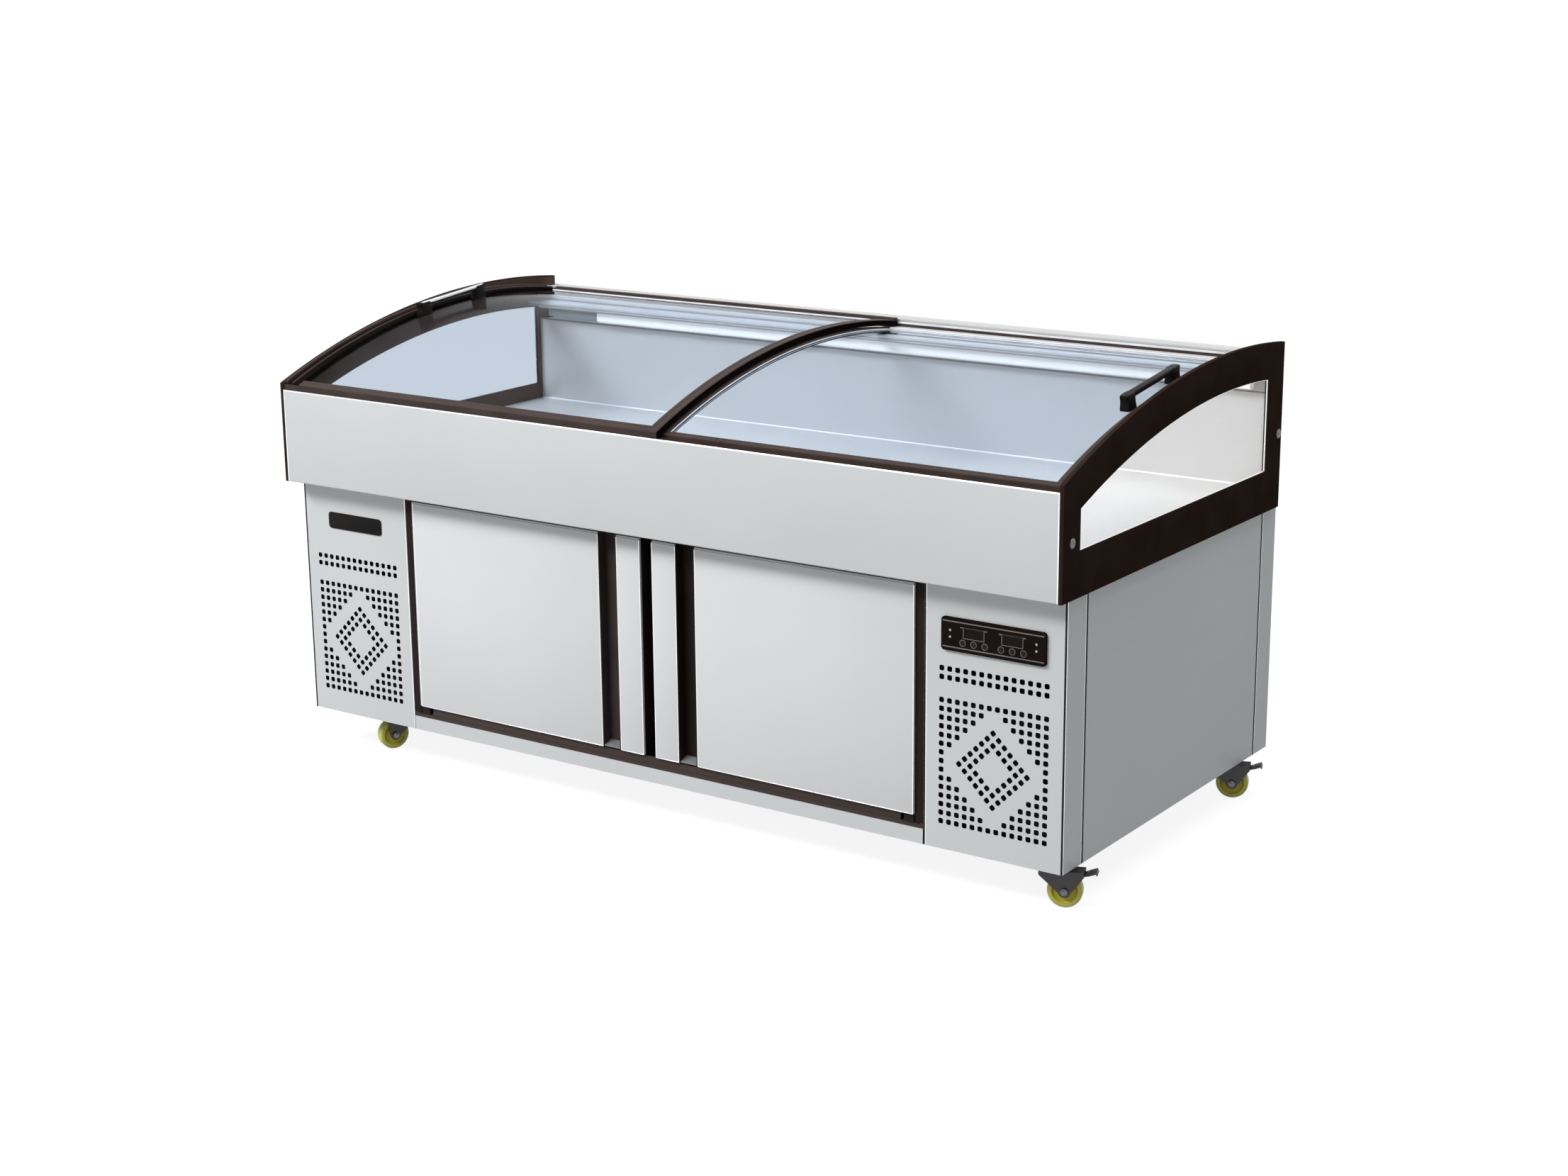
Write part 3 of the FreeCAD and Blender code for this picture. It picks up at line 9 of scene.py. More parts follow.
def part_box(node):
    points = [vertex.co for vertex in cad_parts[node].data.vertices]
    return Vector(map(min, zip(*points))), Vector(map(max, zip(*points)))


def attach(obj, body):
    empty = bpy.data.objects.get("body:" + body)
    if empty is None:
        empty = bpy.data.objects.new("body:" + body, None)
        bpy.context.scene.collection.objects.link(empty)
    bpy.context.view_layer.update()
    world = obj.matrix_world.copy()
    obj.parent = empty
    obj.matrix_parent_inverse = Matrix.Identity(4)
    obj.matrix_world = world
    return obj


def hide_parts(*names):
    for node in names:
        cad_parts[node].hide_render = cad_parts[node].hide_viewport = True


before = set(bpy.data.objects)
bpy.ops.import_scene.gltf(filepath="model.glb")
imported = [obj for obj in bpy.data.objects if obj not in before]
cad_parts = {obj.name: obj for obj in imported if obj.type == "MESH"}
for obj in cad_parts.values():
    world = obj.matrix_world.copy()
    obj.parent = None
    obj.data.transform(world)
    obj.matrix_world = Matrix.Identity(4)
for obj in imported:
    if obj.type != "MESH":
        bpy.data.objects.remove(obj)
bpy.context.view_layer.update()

bl_info = {
    "name": "Display case looks",
    "version": (1, 0, 0),
    "blender": (4, 5, 0),
    "location": "3D View > Sidebar > Display Case",
    "description": "Dresses a dual-temperature display case on casters with detailed pieces and finishes",
    "category": "Object",
}

MM = 0.001


def mm_box(node):
    """Lowest and highest corner of a CAD node in millimetres."""
    low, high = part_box(node)
    return np.array(low) / MM, np.array(high) / MM


# Settings

def colour(name, description, default):
    return FloatVectorProperty(name=name, description=description, subtype="COLOR",
                               size=3, min=0, max=1, default=default)


def length(name, description, millimetres):
    return FloatProperty(name=name, description=description, unit="LENGTH", min=0,
                         default=millimetres * MM)


class CaseFinishes(bpy.types.PropertyGroup):
    """Colours of the case, as they look under plain white light, except where a comment marks painted shade
    or painted highlight.
    """
    front_steel: colour("Front steel", "Brushed sheet of the pierced front panels", (0.63, 0.65, 0.66))
    door_steel: colour("Door steel", "Brushed sheet of the doors", (0.705, 0.716, 0.725))
    fascia_steel: colour("Fascia steel", "Brushed sheet of the front fascia", (0.60, 0.617, 0.62))
    # darker partly as painted shade of the sides that face away from the lamps, on top of the sheet's own
    # tone
    side_steel: colour("Side steel", "Brushed sheet of the side panels", (0.49, 0.522, 0.535))
    basin_steel: colour("Basin steel", "Sheet of the basin", (0.535, 0.52, 0.50))
    end_brown: colour("End frame", "Dark brown of the end frames", (0.032, 0.0205, 0.0165))
    lid_brown: colour("Lid frame", "Brown of the lid frames", (0.046, 0.033, 0.030))
    lining_brown: colour("Lining", "Brown lining inside the end frames", (0.10, 0.068, 0.056))
    frame_brown: colour("Door frame", "Brown of the door surround", (0.046, 0.031, 0.026))
    lid_glass: colour("Lid glass", "What one lid lets through", (0.588, 0.667, 0.768))
    end_glass: colour("End glass", "What one end pane lets through", (0.88, 0.885, 0.89))
    profile_white: colour("White profile", "Coat of the rear beam", (0.46, 0.46, 0.46))
    lamp_white: colour("Lamp", "Diffuser of the light strip", (0.80, 0.77, 0.73))
    tread_yellow: colour("Tread", "Cast tread of the wheels", (0.58, 0.58, 0.10))
    hub_yellow: colour("Hub", "Hub of the wheels", (0.52, 0.43, 0.02))
    # dark partly as painted shade of the casters under the case, on top of the plating's own grey
    zinc: colour("Zinc", "Plated pressings of the casters", (0.050, 0.046, 0.048))
    moulded_black: colour("Black", "Moulded black plastic", (0.007, 0.0055, 0.005))


class CaseDetails(bpy.types.PropertyGroup):
    """Sizes of the fine shapes that dress the case."""
    sheet_bend: length("Sheet bend", "Radius of the bends in sheet steel", 2.5)
    frame_round: length("Frame rounding", "Rounding of the end frames' edges", 1.2)
    door_corner: length("Door corner", "Rounding of the doors' upright edges", 2.0)
    door_skin: length("Door skin", "Depth of the doors' steel front", 7.0)
    vent_corner: length("Vent corner", "Rounding of the vents' corners", 2.3)
    hinge_gap: length("Hinge gap", "Dark gap left free on the left door's hinge side", 4.5)
    head_gap: length("Head gap", "Dark gap left free over the doors' fronts", 4.5)
    lid_groove: length("Lid groove", "Depth of the groove along the lid frames", 0.9)
    # the bead round the end windows is a painted highlight
    bead_width: length("Bead width", "Width of the pale bead round the end windows", 2.2)
    wheel_sides: IntProperty(name="Wheel sides", description="Segments round a wheel", min=24, default=72)


class CaseStudio(bpy.types.PropertyGroup):
    """Camera and light of the plain studio."""
    lens: FloatProperty(name="Lens", description="Focal length of the camera in millimetres",
                        min=1, default=57.789)
    place: FloatVectorProperty(name="Camera place", description="Where the camera stands",
                               subtype="TRANSLATION", size=3, default=(2.8137, -4.0005, 1.6689))
    yaw: FloatProperty(name="Yaw", description="Turn of the camera to the left", subtype="ANGLE",
                       default=math.radians(34.788))
    pitch: FloatProperty(name="Pitch", description="Tilt of the camera downwards", subtype="ANGLE",
                         default=math.radians(14.814))
    roll: FloatProperty(name="Roll", description="Lean of the camera", subtype="ANGLE",
                        default=math.radians(-0.518))
    sky: FloatProperty(name="Sky", description="Light that comes evenly from all round", min=0, default=0.33)
    key: FloatProperty(name="Key", description="Power of the large front lamp in watts", min=0, default=412)
    top: FloatProperty(name="Top", description="Power of the lamp overhead in watts", min=0, default=120)


# Surfaces

def grid_quads(rows, columns, close_rows):
    """Quads (i, j), (i, j+1), (i+1, j+1), (i+1, j) of a grid that is closed along its columns."""
    i = np.arange(rows if close_rows else rows - 1)[:, None]
    j = np.arange(columns)[None, :]
    below, beside = (i + 1) % rows, (j + 1) % columns
    corners = np.broadcast_arrays(i * columns + j, i * columns + beside,
                                  below * columns + beside, below * columns + j)
    return np.stack(corners, -1).reshape(-1, 4)


def grid_points(x, y, z):
    """Points of a grid from the arrays of its coordinates, which stretch to one shape."""
    return np.stack(np.broadcast_arrays(x, y, z), -1)


def lofted(rings):
    """Closed shell through a stack of rings, with a flat cap on the first and the last ring."""
    rows, columns = rings.shape[:2]
    ring = np.arange(columns)
    caps = [ring[::-1].tolist(), (ring + (rows - 1) * columns).tolist()]
    return rings.reshape(-1, 3), grid_quads(rows, columns, False), caps


def looped(rings):
    """Closed shell through rings that follow one another round a loop, as on a window frame."""
    rows, columns = rings.shape[:2]
    return rings.reshape(-1, 3), grid_quads(rows, columns, True), []


def enclosed(points, quads, caps):
    """Volume that the faces enclose: the sum of the tetrahedra from the middle to each triangle."""
    fans = [np.column_stack([np.full(len(cap) - 2, cap[0]), cap[1:-1], cap[2:]]) for cap in caps]
    triangles = np.concatenate([quads[:, [0, 1, 2]], quads[:, [0, 2, 3]], *fans])
    a, b, c = np.moveaxis(points[triangles] - points.mean(0), 1, 0)
    return np.einsum("ij,ij->i", a, np.cross(b, c)).sum() / 6


def add_piece(name, shells, coat, body, hides=(), smooth=38):
    """One object from closed shells in millimetres, faces turned outwards, with the finish named
    by coat, riding on a body. Edges sharper than smooth, in degrees, stay crisp."""
    points, faces, count = [], [], 0
    for shell, quads, caps in shells:
        rings = quads.tolist() + caps
        if enclosed(shell, quads, caps) < 0:
            rings = [ring[::-1] for ring in rings]
        faces += [[corner + count for corner in ring] for ring in rings]
        points.append(shell)
        count += len(shell)
    mesh = bpy.data.meshes.new(name)
    mesh.from_pydata((np.concatenate(points) * MM).tolist(), [], faces)
    mesh.shade_smooth()
    mesh.set_sharp_from_angle(angle=math.radians(smooth))
    mesh.materials.append(finish(coat))
    piece = bpy.data.objects.new(name, mesh)
    bpy.context.scene.collection.objects.link(piece)
    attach(piece, body)
    if hides:
        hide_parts(*hides)


def rounded_outline(half_u, half_v, radius, steps=4):
    """Rectangle with round corners: quarter circles of the radius pushed out to the four corners."""
    half_u, half_v, radius = (np.atleast_1d(np.asarray(size, float))[:, None, None]
                              for size in (half_u, half_v, radius))
    quarter = np.arange(4)[None, :, None]
    turn = (quarter + np.linspace(0, 1, steps)[None, None, :]) * np.pi / 2
    side_u = np.where((quarter == 0) | (quarter == 3), 1, -1)
    side_v = np.where(quarter < 2, 1, -1)
    u = side_u * (half_u - radius) + radius * np.cos(turn)
    v = side_v * (half_v - radius) + radius * np.sin(turn)
    return np.stack([u, v], -1).reshape(len(half_u), -1, 2)


ORDER = {"x": (1, 2, 0), "y": (2, 0, 1), "z": (0, 1, 2)}


def block(low, high, along, corner, edge, steps=4):
    """Box with round corners across one axis and rounded rims at both ends of it: round outlines
    stacked along the axis, drawn in by edge (1 - sin t) at a height of edge (1 - cos t) from the end."""
    low, high = np.asarray(low, float), np.asarray(high, float)
    across_u, across_v, axis = ORDER[along]
    half, middle = (high - low) / 2, (high + low) / 2
    turn = np.linspace(0, np.pi / 2, steps)
    inset, rise = edge * (1 - np.sin(turn)), edge * (1 - np.cos(turn))
    insets = np.concatenate([inset, inset[::-1]])
    heights = np.concatenate([low[axis] + rise, high[axis] - rise[::-1]])
    outline = rounded_outline(half[across_u] - insets, half[across_v] - insets,
                              np.maximum(corner - insets, corner * 0.2))
    rings = np.empty(outline.shape[:2] + (3,))
    rings[..., across_u] = outline[..., 0] + middle[across_u]
    rings[..., across_v] = outline[..., 1] + middle[across_v]
    rings[..., axis] = heights[:, None]
    return lofted(rings)


def bead(low, high):
    """Slim rounded bar along the longest side of a box."""
    low, high = np.minimum(low, high), np.maximum(low, high)
    size = high - low
    return block(low, high, "xyz"[int(size.argmax())], 0.4 * size.min(), 0.2 * size.min(), 3)


def twins(low, high):
    """A slim bar on the right side and its mirror image on the left."""
    flip = np.array((-1, 1, 1))
    return [bead(low, high), bead(low * flip, high * flip)]


def drawn_out(profile, start, end):
    """Prism along X: one outline of (y, z) points, at the start and at the end."""
    y, z = np.asarray(profile, float).T
    return lofted(grid_points(np.array([[start], [end]], float), y, z))


def filleted(corners, radii, steps=5):
    """Closed outline with its corners rounded: at each corner an arc that touches both edges,
    its middle on the bisector at radius / sin(half the corner's angle)."""
    corners = np.asarray(corners, float)
    radii = np.broadcast_to(np.asarray(radii, float), (len(corners),))[:, None]
    before, after = np.roll(corners, 1, 0) - corners, np.roll(corners, -1, 0) - corners
    before /= np.linalg.norm(before, axis=1, keepdims=True)
    after /= np.linalg.norm(after, axis=1, keepdims=True)
    half = np.arccos(np.clip((before * after).sum(1, keepdims=True), -1, 1)) / 2
    bisector = before + after
    bisector /= np.linalg.norm(bisector, axis=1, keepdims=True)
    centre = corners + bisector * radii / np.sin(half)
    first = before * radii / np.tan(half) + corners - centre
    last = after * radii / np.tan(half) + corners - centre
    share = np.linspace(0, 1, steps)[None, :, None]
    swing = (np.pi / 2 - half) * 2
    blend_first = np.sin((1 - share) * swing[:, None]) / np.sin(swing)[:, None]
    blend_last = np.sin(share * swing[:, None]) / np.sin(swing)[:, None]
    arcs = centre[:, None] + first[:, None] * blend_first + last[:, None] * blend_last
    return arcs.reshape(-1, 2)


def turned(profile, centre, axis, sides, closed=False):
    """Surface of revolution: (along, radius) points of a profile carried round an axis."""
    profile = np.asarray(profile, float)
    axis = np.asarray(Vector(axis).normalized())
    across = np.asarray(Vector(axis).orthogonal().normalized())
    beyond = np.cross(axis, across)
    turn = np.arange(sides)[None, :, None] * 2 * np.pi / sides
    along, radius = profile[:, 0, None, None], profile[:, 1, None, None]
    rings = np.asarray(centre) + along * axis + radius * (np.cos(turn) * across + np.sin(turn) * beyond)
    return looped(rings) if closed else lofted(rings)


def at_place(shell, matrix):
    """The same shell, its points carried by a turn and a shift."""
    points, quads, caps = shell
    turn, shift = np.array(matrix.to_3x3()), np.array(matrix.to_translation())
    return points @ turn.T + shift, quads, caps


# Finishes

EVEN = (1, 1, 1)


def new_finish(name, base, roughness, metallic=0.0, **sockets):
    """Material with plain numbers on the shader's own sockets, and its node tree."""
    material = bpy.data.materials.new(name)
    material.use_nodes = True
    shader = material.node_tree.nodes["Principled BSDF"]
    shader.inputs["Base Color"].default_value = (*base, 1)
    shader.inputs["Roughness"].default_value = roughness
    shader.inputs["Metallic"].default_value = metallic
    for socket, value in sockets.items():
        shader.inputs[socket.replace("_", " ")].default_value = value
    return material, material.node_tree, shader


def noise(tree, stretch, scale, detail):
    """Noise pattern on Object coordinates, stretched along the axes."""
    nodes, links = tree.nodes, tree.links
    place = nodes.new("ShaderNodeTexCoord")
    mapping = nodes.new("ShaderNodeMapping")
    mapping.inputs["Scale"].default_value = stretch
    links.new(place.outputs["Object"], mapping.inputs["Vector"])
    texture = nodes.new("ShaderNodeTexNoise")
    texture.inputs["Scale"].default_value = scale
    texture.inputs["Detail"].default_value = detail
    links.new(mapping.outputs["Vector"], texture.inputs["Vector"])
    return texture.outputs["Fac"]


def vary_colour(tree, shader, signal, base, darker, lighter, low=0.3, high=0.7):
    """Base colour between a darker and a lighter shade of itself, by a pattern."""
    ramp = tree.nodes.new("ShaderNodeValToRGB")
    ramp.color_ramp.elements[0].position = low
    ramp.color_ramp.elements[1].position = high
    ramp.color_ramp.elements[0].color = (*[c * darker for c in base], 1)
    ramp.color_ramp.elements[1].color = (*[min(c * lighter, 1) for c in base], 1)
    tree.links.new(signal, ramp.inputs["Fac"])
    tree.links.new(ramp.outputs["Color"], shader.inputs["Base Color"])


def vary_roughness(tree, shader, signal, low, high):
    """Roughness between two values, by a pattern."""
    span = tree.nodes.new("ShaderNodeMapRange")
    span.inputs["From Min"].default_value = 0.25
    span.inputs["From Max"].default_value = 0.75
    span.inputs["To Min"].default_value = low
    span.inputs["To Max"].default_value = high
    tree.links.new(signal, span.inputs["Value"])
    tree.links.new(span.outputs["Result"], shader.inputs["Roughness"])


def add_bump(tree, shader, signal, strength, height):
    """Fine relief from a pattern, height in millimetres."""
    bump = tree.nodes.new("ShaderNodeBump")
    bump.inputs["Strength"].default_value = strength
    bump.inputs["Distance"].default_value = height * MM
    tree.links.new(signal, bump.inputs["Height"])
    tree.links.new(bump.outputs["Normal"], shader.inputs["Normal"])


def brushed_sheet(name, base, metallic, roughness, grain=(5, 5, 900), relief=0.05):
    """Brushed steel: hair lines along one way, faint clouds in the shade and the gloss."""
    material, tree, shader = new_finish(name, base, roughness, metallic)
    lines = noise(tree, grain, 1.0, 3.0)
    clouds = noise(tree, EVEN, 2.2, 3.0)
    vary_colour(tree, shader, clouds, base, 0.965, 1.02)
    vary_roughness(tree, shader, lines, roughness - 0.05, roughness + 0.06)
    add_bump(tree, shader, lines, relief, 0.05)
    return material


def moulded(name, base, roughness, grain=900.0, relief=0.08, gloss=0.5):
    """Moulded or coated piece: a fine grain in relief and a little variation in shade and gloss."""
    material, tree, shader = new_finish(name, base, roughness, Specular_IOR_Level=gloss)
    grains = noise(tree, EVEN, grain, 2.0)
    clouds = noise(tree, EVEN, 14.0, 4.0)
    vary_colour(tree, shader, clouds, base, 0.86, 1.16)
    vary_roughness(tree, shader, clouds, roughness - 0.06, roughness + 0.07)
    add_bump(tree, shader, grains, relief, 0.1)
    return material


def clear_pane(name, base, shade, bend):
    """Polished glass with a coat against glare, which lets lamp light through to what is behind it."""
    material, tree, shader = new_finish(name, base, 0.0, Transmission_Weight=1.0, IOR=bend)
    nodes, links = tree.nodes, tree.links
    through = nodes.new("ShaderNodeBsdfTransparent")
    through.inputs["Color"].default_value = (*shade, 1)
    path = nodes.new("ShaderNodeLightPath")
    mix = nodes.new("ShaderNodeMixShader")
    links.new(path.outputs["Is Shadow Ray"], mix.inputs["Fac"])
    links.new(shader.outputs["BSDF"], mix.inputs[1])
    links.new(through.outputs["BSDF"], mix.inputs[2])
    links.new(mix.outputs["Shader"], nodes["Material Output"].inputs["Surface"])
    return material


def glowing(name, base, strength):
    """Milky diffuser lit from within."""
    material, tree, shader = new_finish(name, base, 0.4, Emission_Strength=strength)
    shader.inputs["Emission Color"].default_value = (*base, 1)
    clouds = noise(tree, EVEN, 30.0, 2.0)
    vary_roughness(tree, shader, clouds, 0.34, 0.46)
    return material


def finned(name, base):
    """Stacked aluminium fins, coloured near black as painted shade seen through the vents: fine dark lines
    across X.
    """
    material, tree, shader = new_finish(name, base, 0.5, 0.6)
    fins = noise(tree, (400, 2, 2), 1.0, 1.0)
    vary_colour(tree, shader, fins, base, 0.25, 1.1, 0.42, 0.58)
    vary_roughness(tree, shader, fins, 0.4, 0.6)
    add_bump(tree, shader, fins, 0.4, 1.0)
    return material


MADE = {}


def finish(name):
    """Material of that name, made on its first use from the scene's colours."""
    if name not in MADE:
        c = bpy.context.scene.case_finishes
        matt, dull = 0.0, 0.08
        recipes = {
            "front_steel": (brushed_sheet, c.front_steel, 0.08, 0.42),
            "door_steel": (brushed_sheet, c.door_steel, 0.08, 0.42),
            "fascia_steel": (brushed_sheet, c.fascia_steel, 0.2, 0.42),
            # side panels and corner posts: steel darkened partly as painted shade
            "side_steel": (brushed_sheet, c.side_steel, 0.12, 0.45),
            "basin_steel": (brushed_sheet, c.basin_steel, 0.25, 0.42, (700, 4, 4), 0.012),
            # near-white steel used only for painted highlights along edges, window beads and handle strips
            "bright_edge": (brushed_sheet, (0.93, 0.935, 0.94), 0.9, 0.25, (4, 4, 200)),
            "bolt_steel": (brushed_sheet, (0.16, 0.16, 0.16), 0.8, 0.3, (200, 200, 200)),
            "end_brown": (moulded, c.end_brown, 0.45, 500.0, 0.08, matt),
            "lid_brown": (moulded, c.lid_brown, 0.5, 700.0, 0.08, dull),
            "lining_brown": (moulded, c.lining_brown, 0.55, 700.0, 0.08, matt),
            "frame_brown": (moulded, c.frame_brown, 0.5, 700.0, 0.08, 0.2),
            # lit copy of the grip channels' brown: painted light
            "channel_brown": (moulded, (0.055, 0.041, 0.037), 0.5, 700.0, 0.08, dull),
            # shaded copy of the grip channels' brown, also on the door trims and jambs: painted shade
            "channel_dark": (moulded, (0.016, 0.011, 0.009), 0.5, 700.0, 0.08, dull),
            "bezel_black": (moulded, (0.0145, 0.0095, 0.008), 0.5, 900.0, 0.08, matt),
            "moulded_black": (moulded, c.moulded_black, 0.42, 900.0, 0.08, dull),
            # black moulding used only as painted shade: the left lid's stile cover and side strip, and the
            # vent collars
            "guard_black": (moulded, c.moulded_black, 0.5, 900.0, 0.08, matt),
            "soft_seal": (moulded, (0.022, 0.018, 0.017), 0.7, 300.0, 0.2, dull),
            # pale moulding; on the lid seals and on the rear beam's upright face this pale colour is a
            # painted highlight
            "pale_bead": (moulded, (0.70, 0.72, 0.75), 0.4, 600.0, 0.02),
            "lid_glass": (clear_pane, c.lid_glass, (0.96, 0.94, 0.91), 1.03),
            "end_glass": (clear_pane, c.end_glass, (0.96, 0.96, 0.95), 1.08),
            "profile_white": (brushed_sheet, c.profile_white, 0.15, 0.4, (4, 400, 400)),
            "lamp": (glowing, c.lamp_white, 0.28),
            "liner_white": (brushed_sheet, (0.68, 0.69, 0.68), 0.0, 0.5, (30, 30, 30), 0.02),
            "foam": (moulded, (0.70, 0.62, 0.40), 0.9, 160.0, 0.5),
            "machine_black": (moulded, (0.014, 0.014, 0.015), 0.36, 200.0, 0.05, dull),
            # near-black fins: painted shade behind the vents
            "dark_fins": (finned, (0.012, 0.012, 0.012)),
            "grey_sheet": (brushed_sheet, (0.25, 0.26, 0.27), 0.5, 0.5, (60, 60, 60)),
            # dark grey used only as painted shade: strips in the beam's notches and the line under the light
            # strip
            "seam_grey": (moulded, (0.20, 0.20, 0.21), 0.6, 600.0, 0.05),
            # plated pressings darkened partly as painted shade under the case
            "zinc": (brushed_sheet, c.zinc, 0.4, 0.4, (120, 120, 120)),
            "tread": (moulded, c.tread_yellow, 0.34, 400.0, 0.05),
            "hub": (moulded, c.hub_yellow, 0.38, 400.0, 0.05),
            "display_window": (moulded, (0.018, 0.0135, 0.012), 0.3, 900.0, 0.01, matt),
            "button_grey": (moulded, (0.034, 0.027, 0.025), 0.45, 900.0, 0.08, matt),
            "print_grey": (moulded, (0.23, 0.21, 0.205), 0.5, 900.0, 0.01, dull),
            "lamp_dot": (moulded, (0.48, 0.47, 0.46), 0.3, 900.0, 0.01),
        }
        maker, *values = recipes[name]
        MADE[name] = maker(name, *values)
    return MADE[name]


def dress(material, *nodes):
    """Give carried-over CAD nodes their finish."""
    for node in nodes:
        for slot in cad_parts[node].material_slots:
            slot.material = finish(material)


# Pieces

class CaseOperator(bpy.types.Operator):
    """Base of the steps: each makes its pieces from the sizes in the sidebar"""
    bl_options = {"REGISTER", "UNDO"}

    def execute(self, context):
        self.make(context.scene.case_details)
        return {"FINISHED"}


class CASE_OT_cabinet(CaseOperator):
    """Cabinet skin in brushed steel, with dark beads of painted shade and bright beads of painted highlight
    down its corners and seams, and the machinery inside
    """
    bl_idname = "case.cabinet"
    bl_label = "Cabinet"

    def make(self, details):
        dress("front_steel", "left_grille", "right_grille", "bottom_rail", "back_panels")
        dress("side_steel", "corner_posts", "side_panels")
        dress("frame_brown", "door_frame")
        dress("moulded_black", "cable_gland", "right_fan", "left_fan")
        dress("basin_steel", "storage_liner", "display_basin")
        dress("foam", "insulation")
        dress("machine_black", "compressors")
        dress("dark_fins", "heat_exchangers")
        dress("grey_sheet", "bottom_pan", "fan_motors")
        dress("zinc", "caster_plates")
        dress("soft_seal", "door_hinges")
        self.make_edges()

    def make_edges(self):
        """Dark beads in the joints of the sheets as painted shade of the gaps, each with a bright bead
        beside it as the painted highlight of a folded edge, and a ledge over the lower back panel."""
        low, high = mm_box("corner_posts")
        skin, front, foot, head = high[0], low[1], low[2], high[2]
        sunk, proud, corner, fold = 0.5, 0.15, front + 1.4, front + 3.2
        wrap, ahead, level = 3.4, 0.8, 0.1
        # the dark beads are painted shade in the joints, and the light beads are painted highlights on the
        # folded edges
        dark = twins((skin - wrap, front - ahead, foot), (skin + level, corner, head))
        light = twins((skin - sunk, corner, foot), (skin + proud, fold, head))
        panel_low, panel_high = mm_box("side_panels")
        gap, lap, slim, root, stand = 3.0, 1.6, 1.0, 0.9, 0.12
        for seam, side in ((panel_low[1], -1), (panel_high[1], 1)):
            edge = seam + side * gap + side * lap
            light += twins((skin - sunk, edge, foot), (skin + proud, edge + side * slim, head))
            dark += twins((skin - root, seam - side * lap, foot), (skin + stand, edge, head))
        # how far the beads on the front stand out of it: a light one more than the dark one beside it
        least, more, most = 0.15, 0.2, 0.25
        low, high = mm_box("bottom_rail")
        start, joint, fold, deep = high[0] - 1.2, high[0] + 0.4, high[0] + 2.4, low[1] + 1.0
        dark += twins((start, low[1] - least, low[2]), (joint, deep, high[2]))
        light += twins((joint, low[1] - more, foot), (fold, deep, head))
        right, back = mm_box("back_panels")[1][:2]
        inset, depth, thick, clear = 3.2, 9.8, 1.2, 0.1
        ledge = bead((inset - right, back - depth, head + clear),
                     (right - inset, back - clear, head + thick))
        add_piece("back_ledge", [ledge], "front_steel", "case")
        low, high = mm_box("right_grille")
        start, joint, fold, deep = low[0], low[0] + 3.5, low[0] + 5.0, low[1] + 1.0
        foot, head = low[2] + 0.5, high[2] - 0.5
        dark.append(bead((start, low[1] - more, foot), (joint, deep, head)))
        light.append(bead((joint, low[1] - most, foot), (fold, deep, head)))
        add_piece("corner_shade_beads", dark, "soft_seal", "case")
        add_piece("panel_edge_highlights", light, "bright_edge", "case")


def vent_places():
    """Places (x, z) of one panel's vents about its middle line: rows of a square lattice, kept where
    the steps from the nearest side and end are few, and a ring lattice turned by 45 degrees."""
    pitch, columns, rows, block_z, upper_z = 16.0, 14, 15, 244.0, 398.0
    column, row = (part.ravel() for part in np.meshgrid(np.arange(columns), np.arange(rows)))
    from_side = np.minimum(column, columns - 1 - column)
    from_end = np.minimum(row, rows - 1 - row)
    kept = (from_side == 0) | (from_end == 0) | (from_side + from_end < columns // 2)
    across = (column - (columns - 1) / 2) * pitch
    framed = np.column_stack([across, block_z + (row - (rows - 1) / 2) * pitch])[kept]
    upper = np.column_stack([across, upper_z + row * pitch])[row < 2]
    i, j = (part.ravel() for part in np.meshgrid(np.arange(-3, 4), np.arange(-3, 4)))
    ring = np.maximum(abs(i), abs(j)) >= 2
    step = pitch / math.sqrt(2)
    diamond = np.column_stack([(i + j) * step, block_z + (i - j) * step])[ring]
    return np.concatenate([framed, upper]), diamond


class CASE_OT_vents(CaseOperator):
    """Rounded collars pressed into the square vents of the front panels, black as painted shade that makes
    the vents look rounder and darker
    """
    bl_idname = "case.vents"
    bl_label = "Vents"

    def make(self, details):
        straight, diamond = vent_places()
        panel_middle = 749.0
        for hand, name in ((-1, "left"), (1, "right")):
            front, middle = mm_box(f"{name}_grille")[0][1], hand * panel_middle
            # black collars: painted shade round and inside each vent
            shells = [self.collar(middle + x, z, front, 0.0, details) for x, z in straight]
            shells += [self.collar(middle + x, z, front, np.pi / 4, details) for x, z in diamond]
            add_piece(f"{name}_vent_collars", shells, "guard_black", "case", smooth=50)

    def collar(self, x, z, front, turn, details):
        """Rounded square outlines from the rim on the sheet's face in to the hole and back through it."""
        corner = details.vent_corner / MM
        rim, hole, back, proud, deep = 4.9, 4.15, 4.39, 0.1, 1.4
        half = np.array([rim, hole, hole, back])
        outline = rounded_outline(half, half, np.array([corner + 0.5, corner, corner, 0.3]), 3)
        depth = np.array([-proud, -proud, deep, deep])
        cos, sin = math.cos(turn), math.sin(turn)
        u, v = outline[..., 0], outline[..., 1]
        return looped(grid_points(x + u * cos - v * sin, front + depth[:, None], z + u * sin + v * cos))


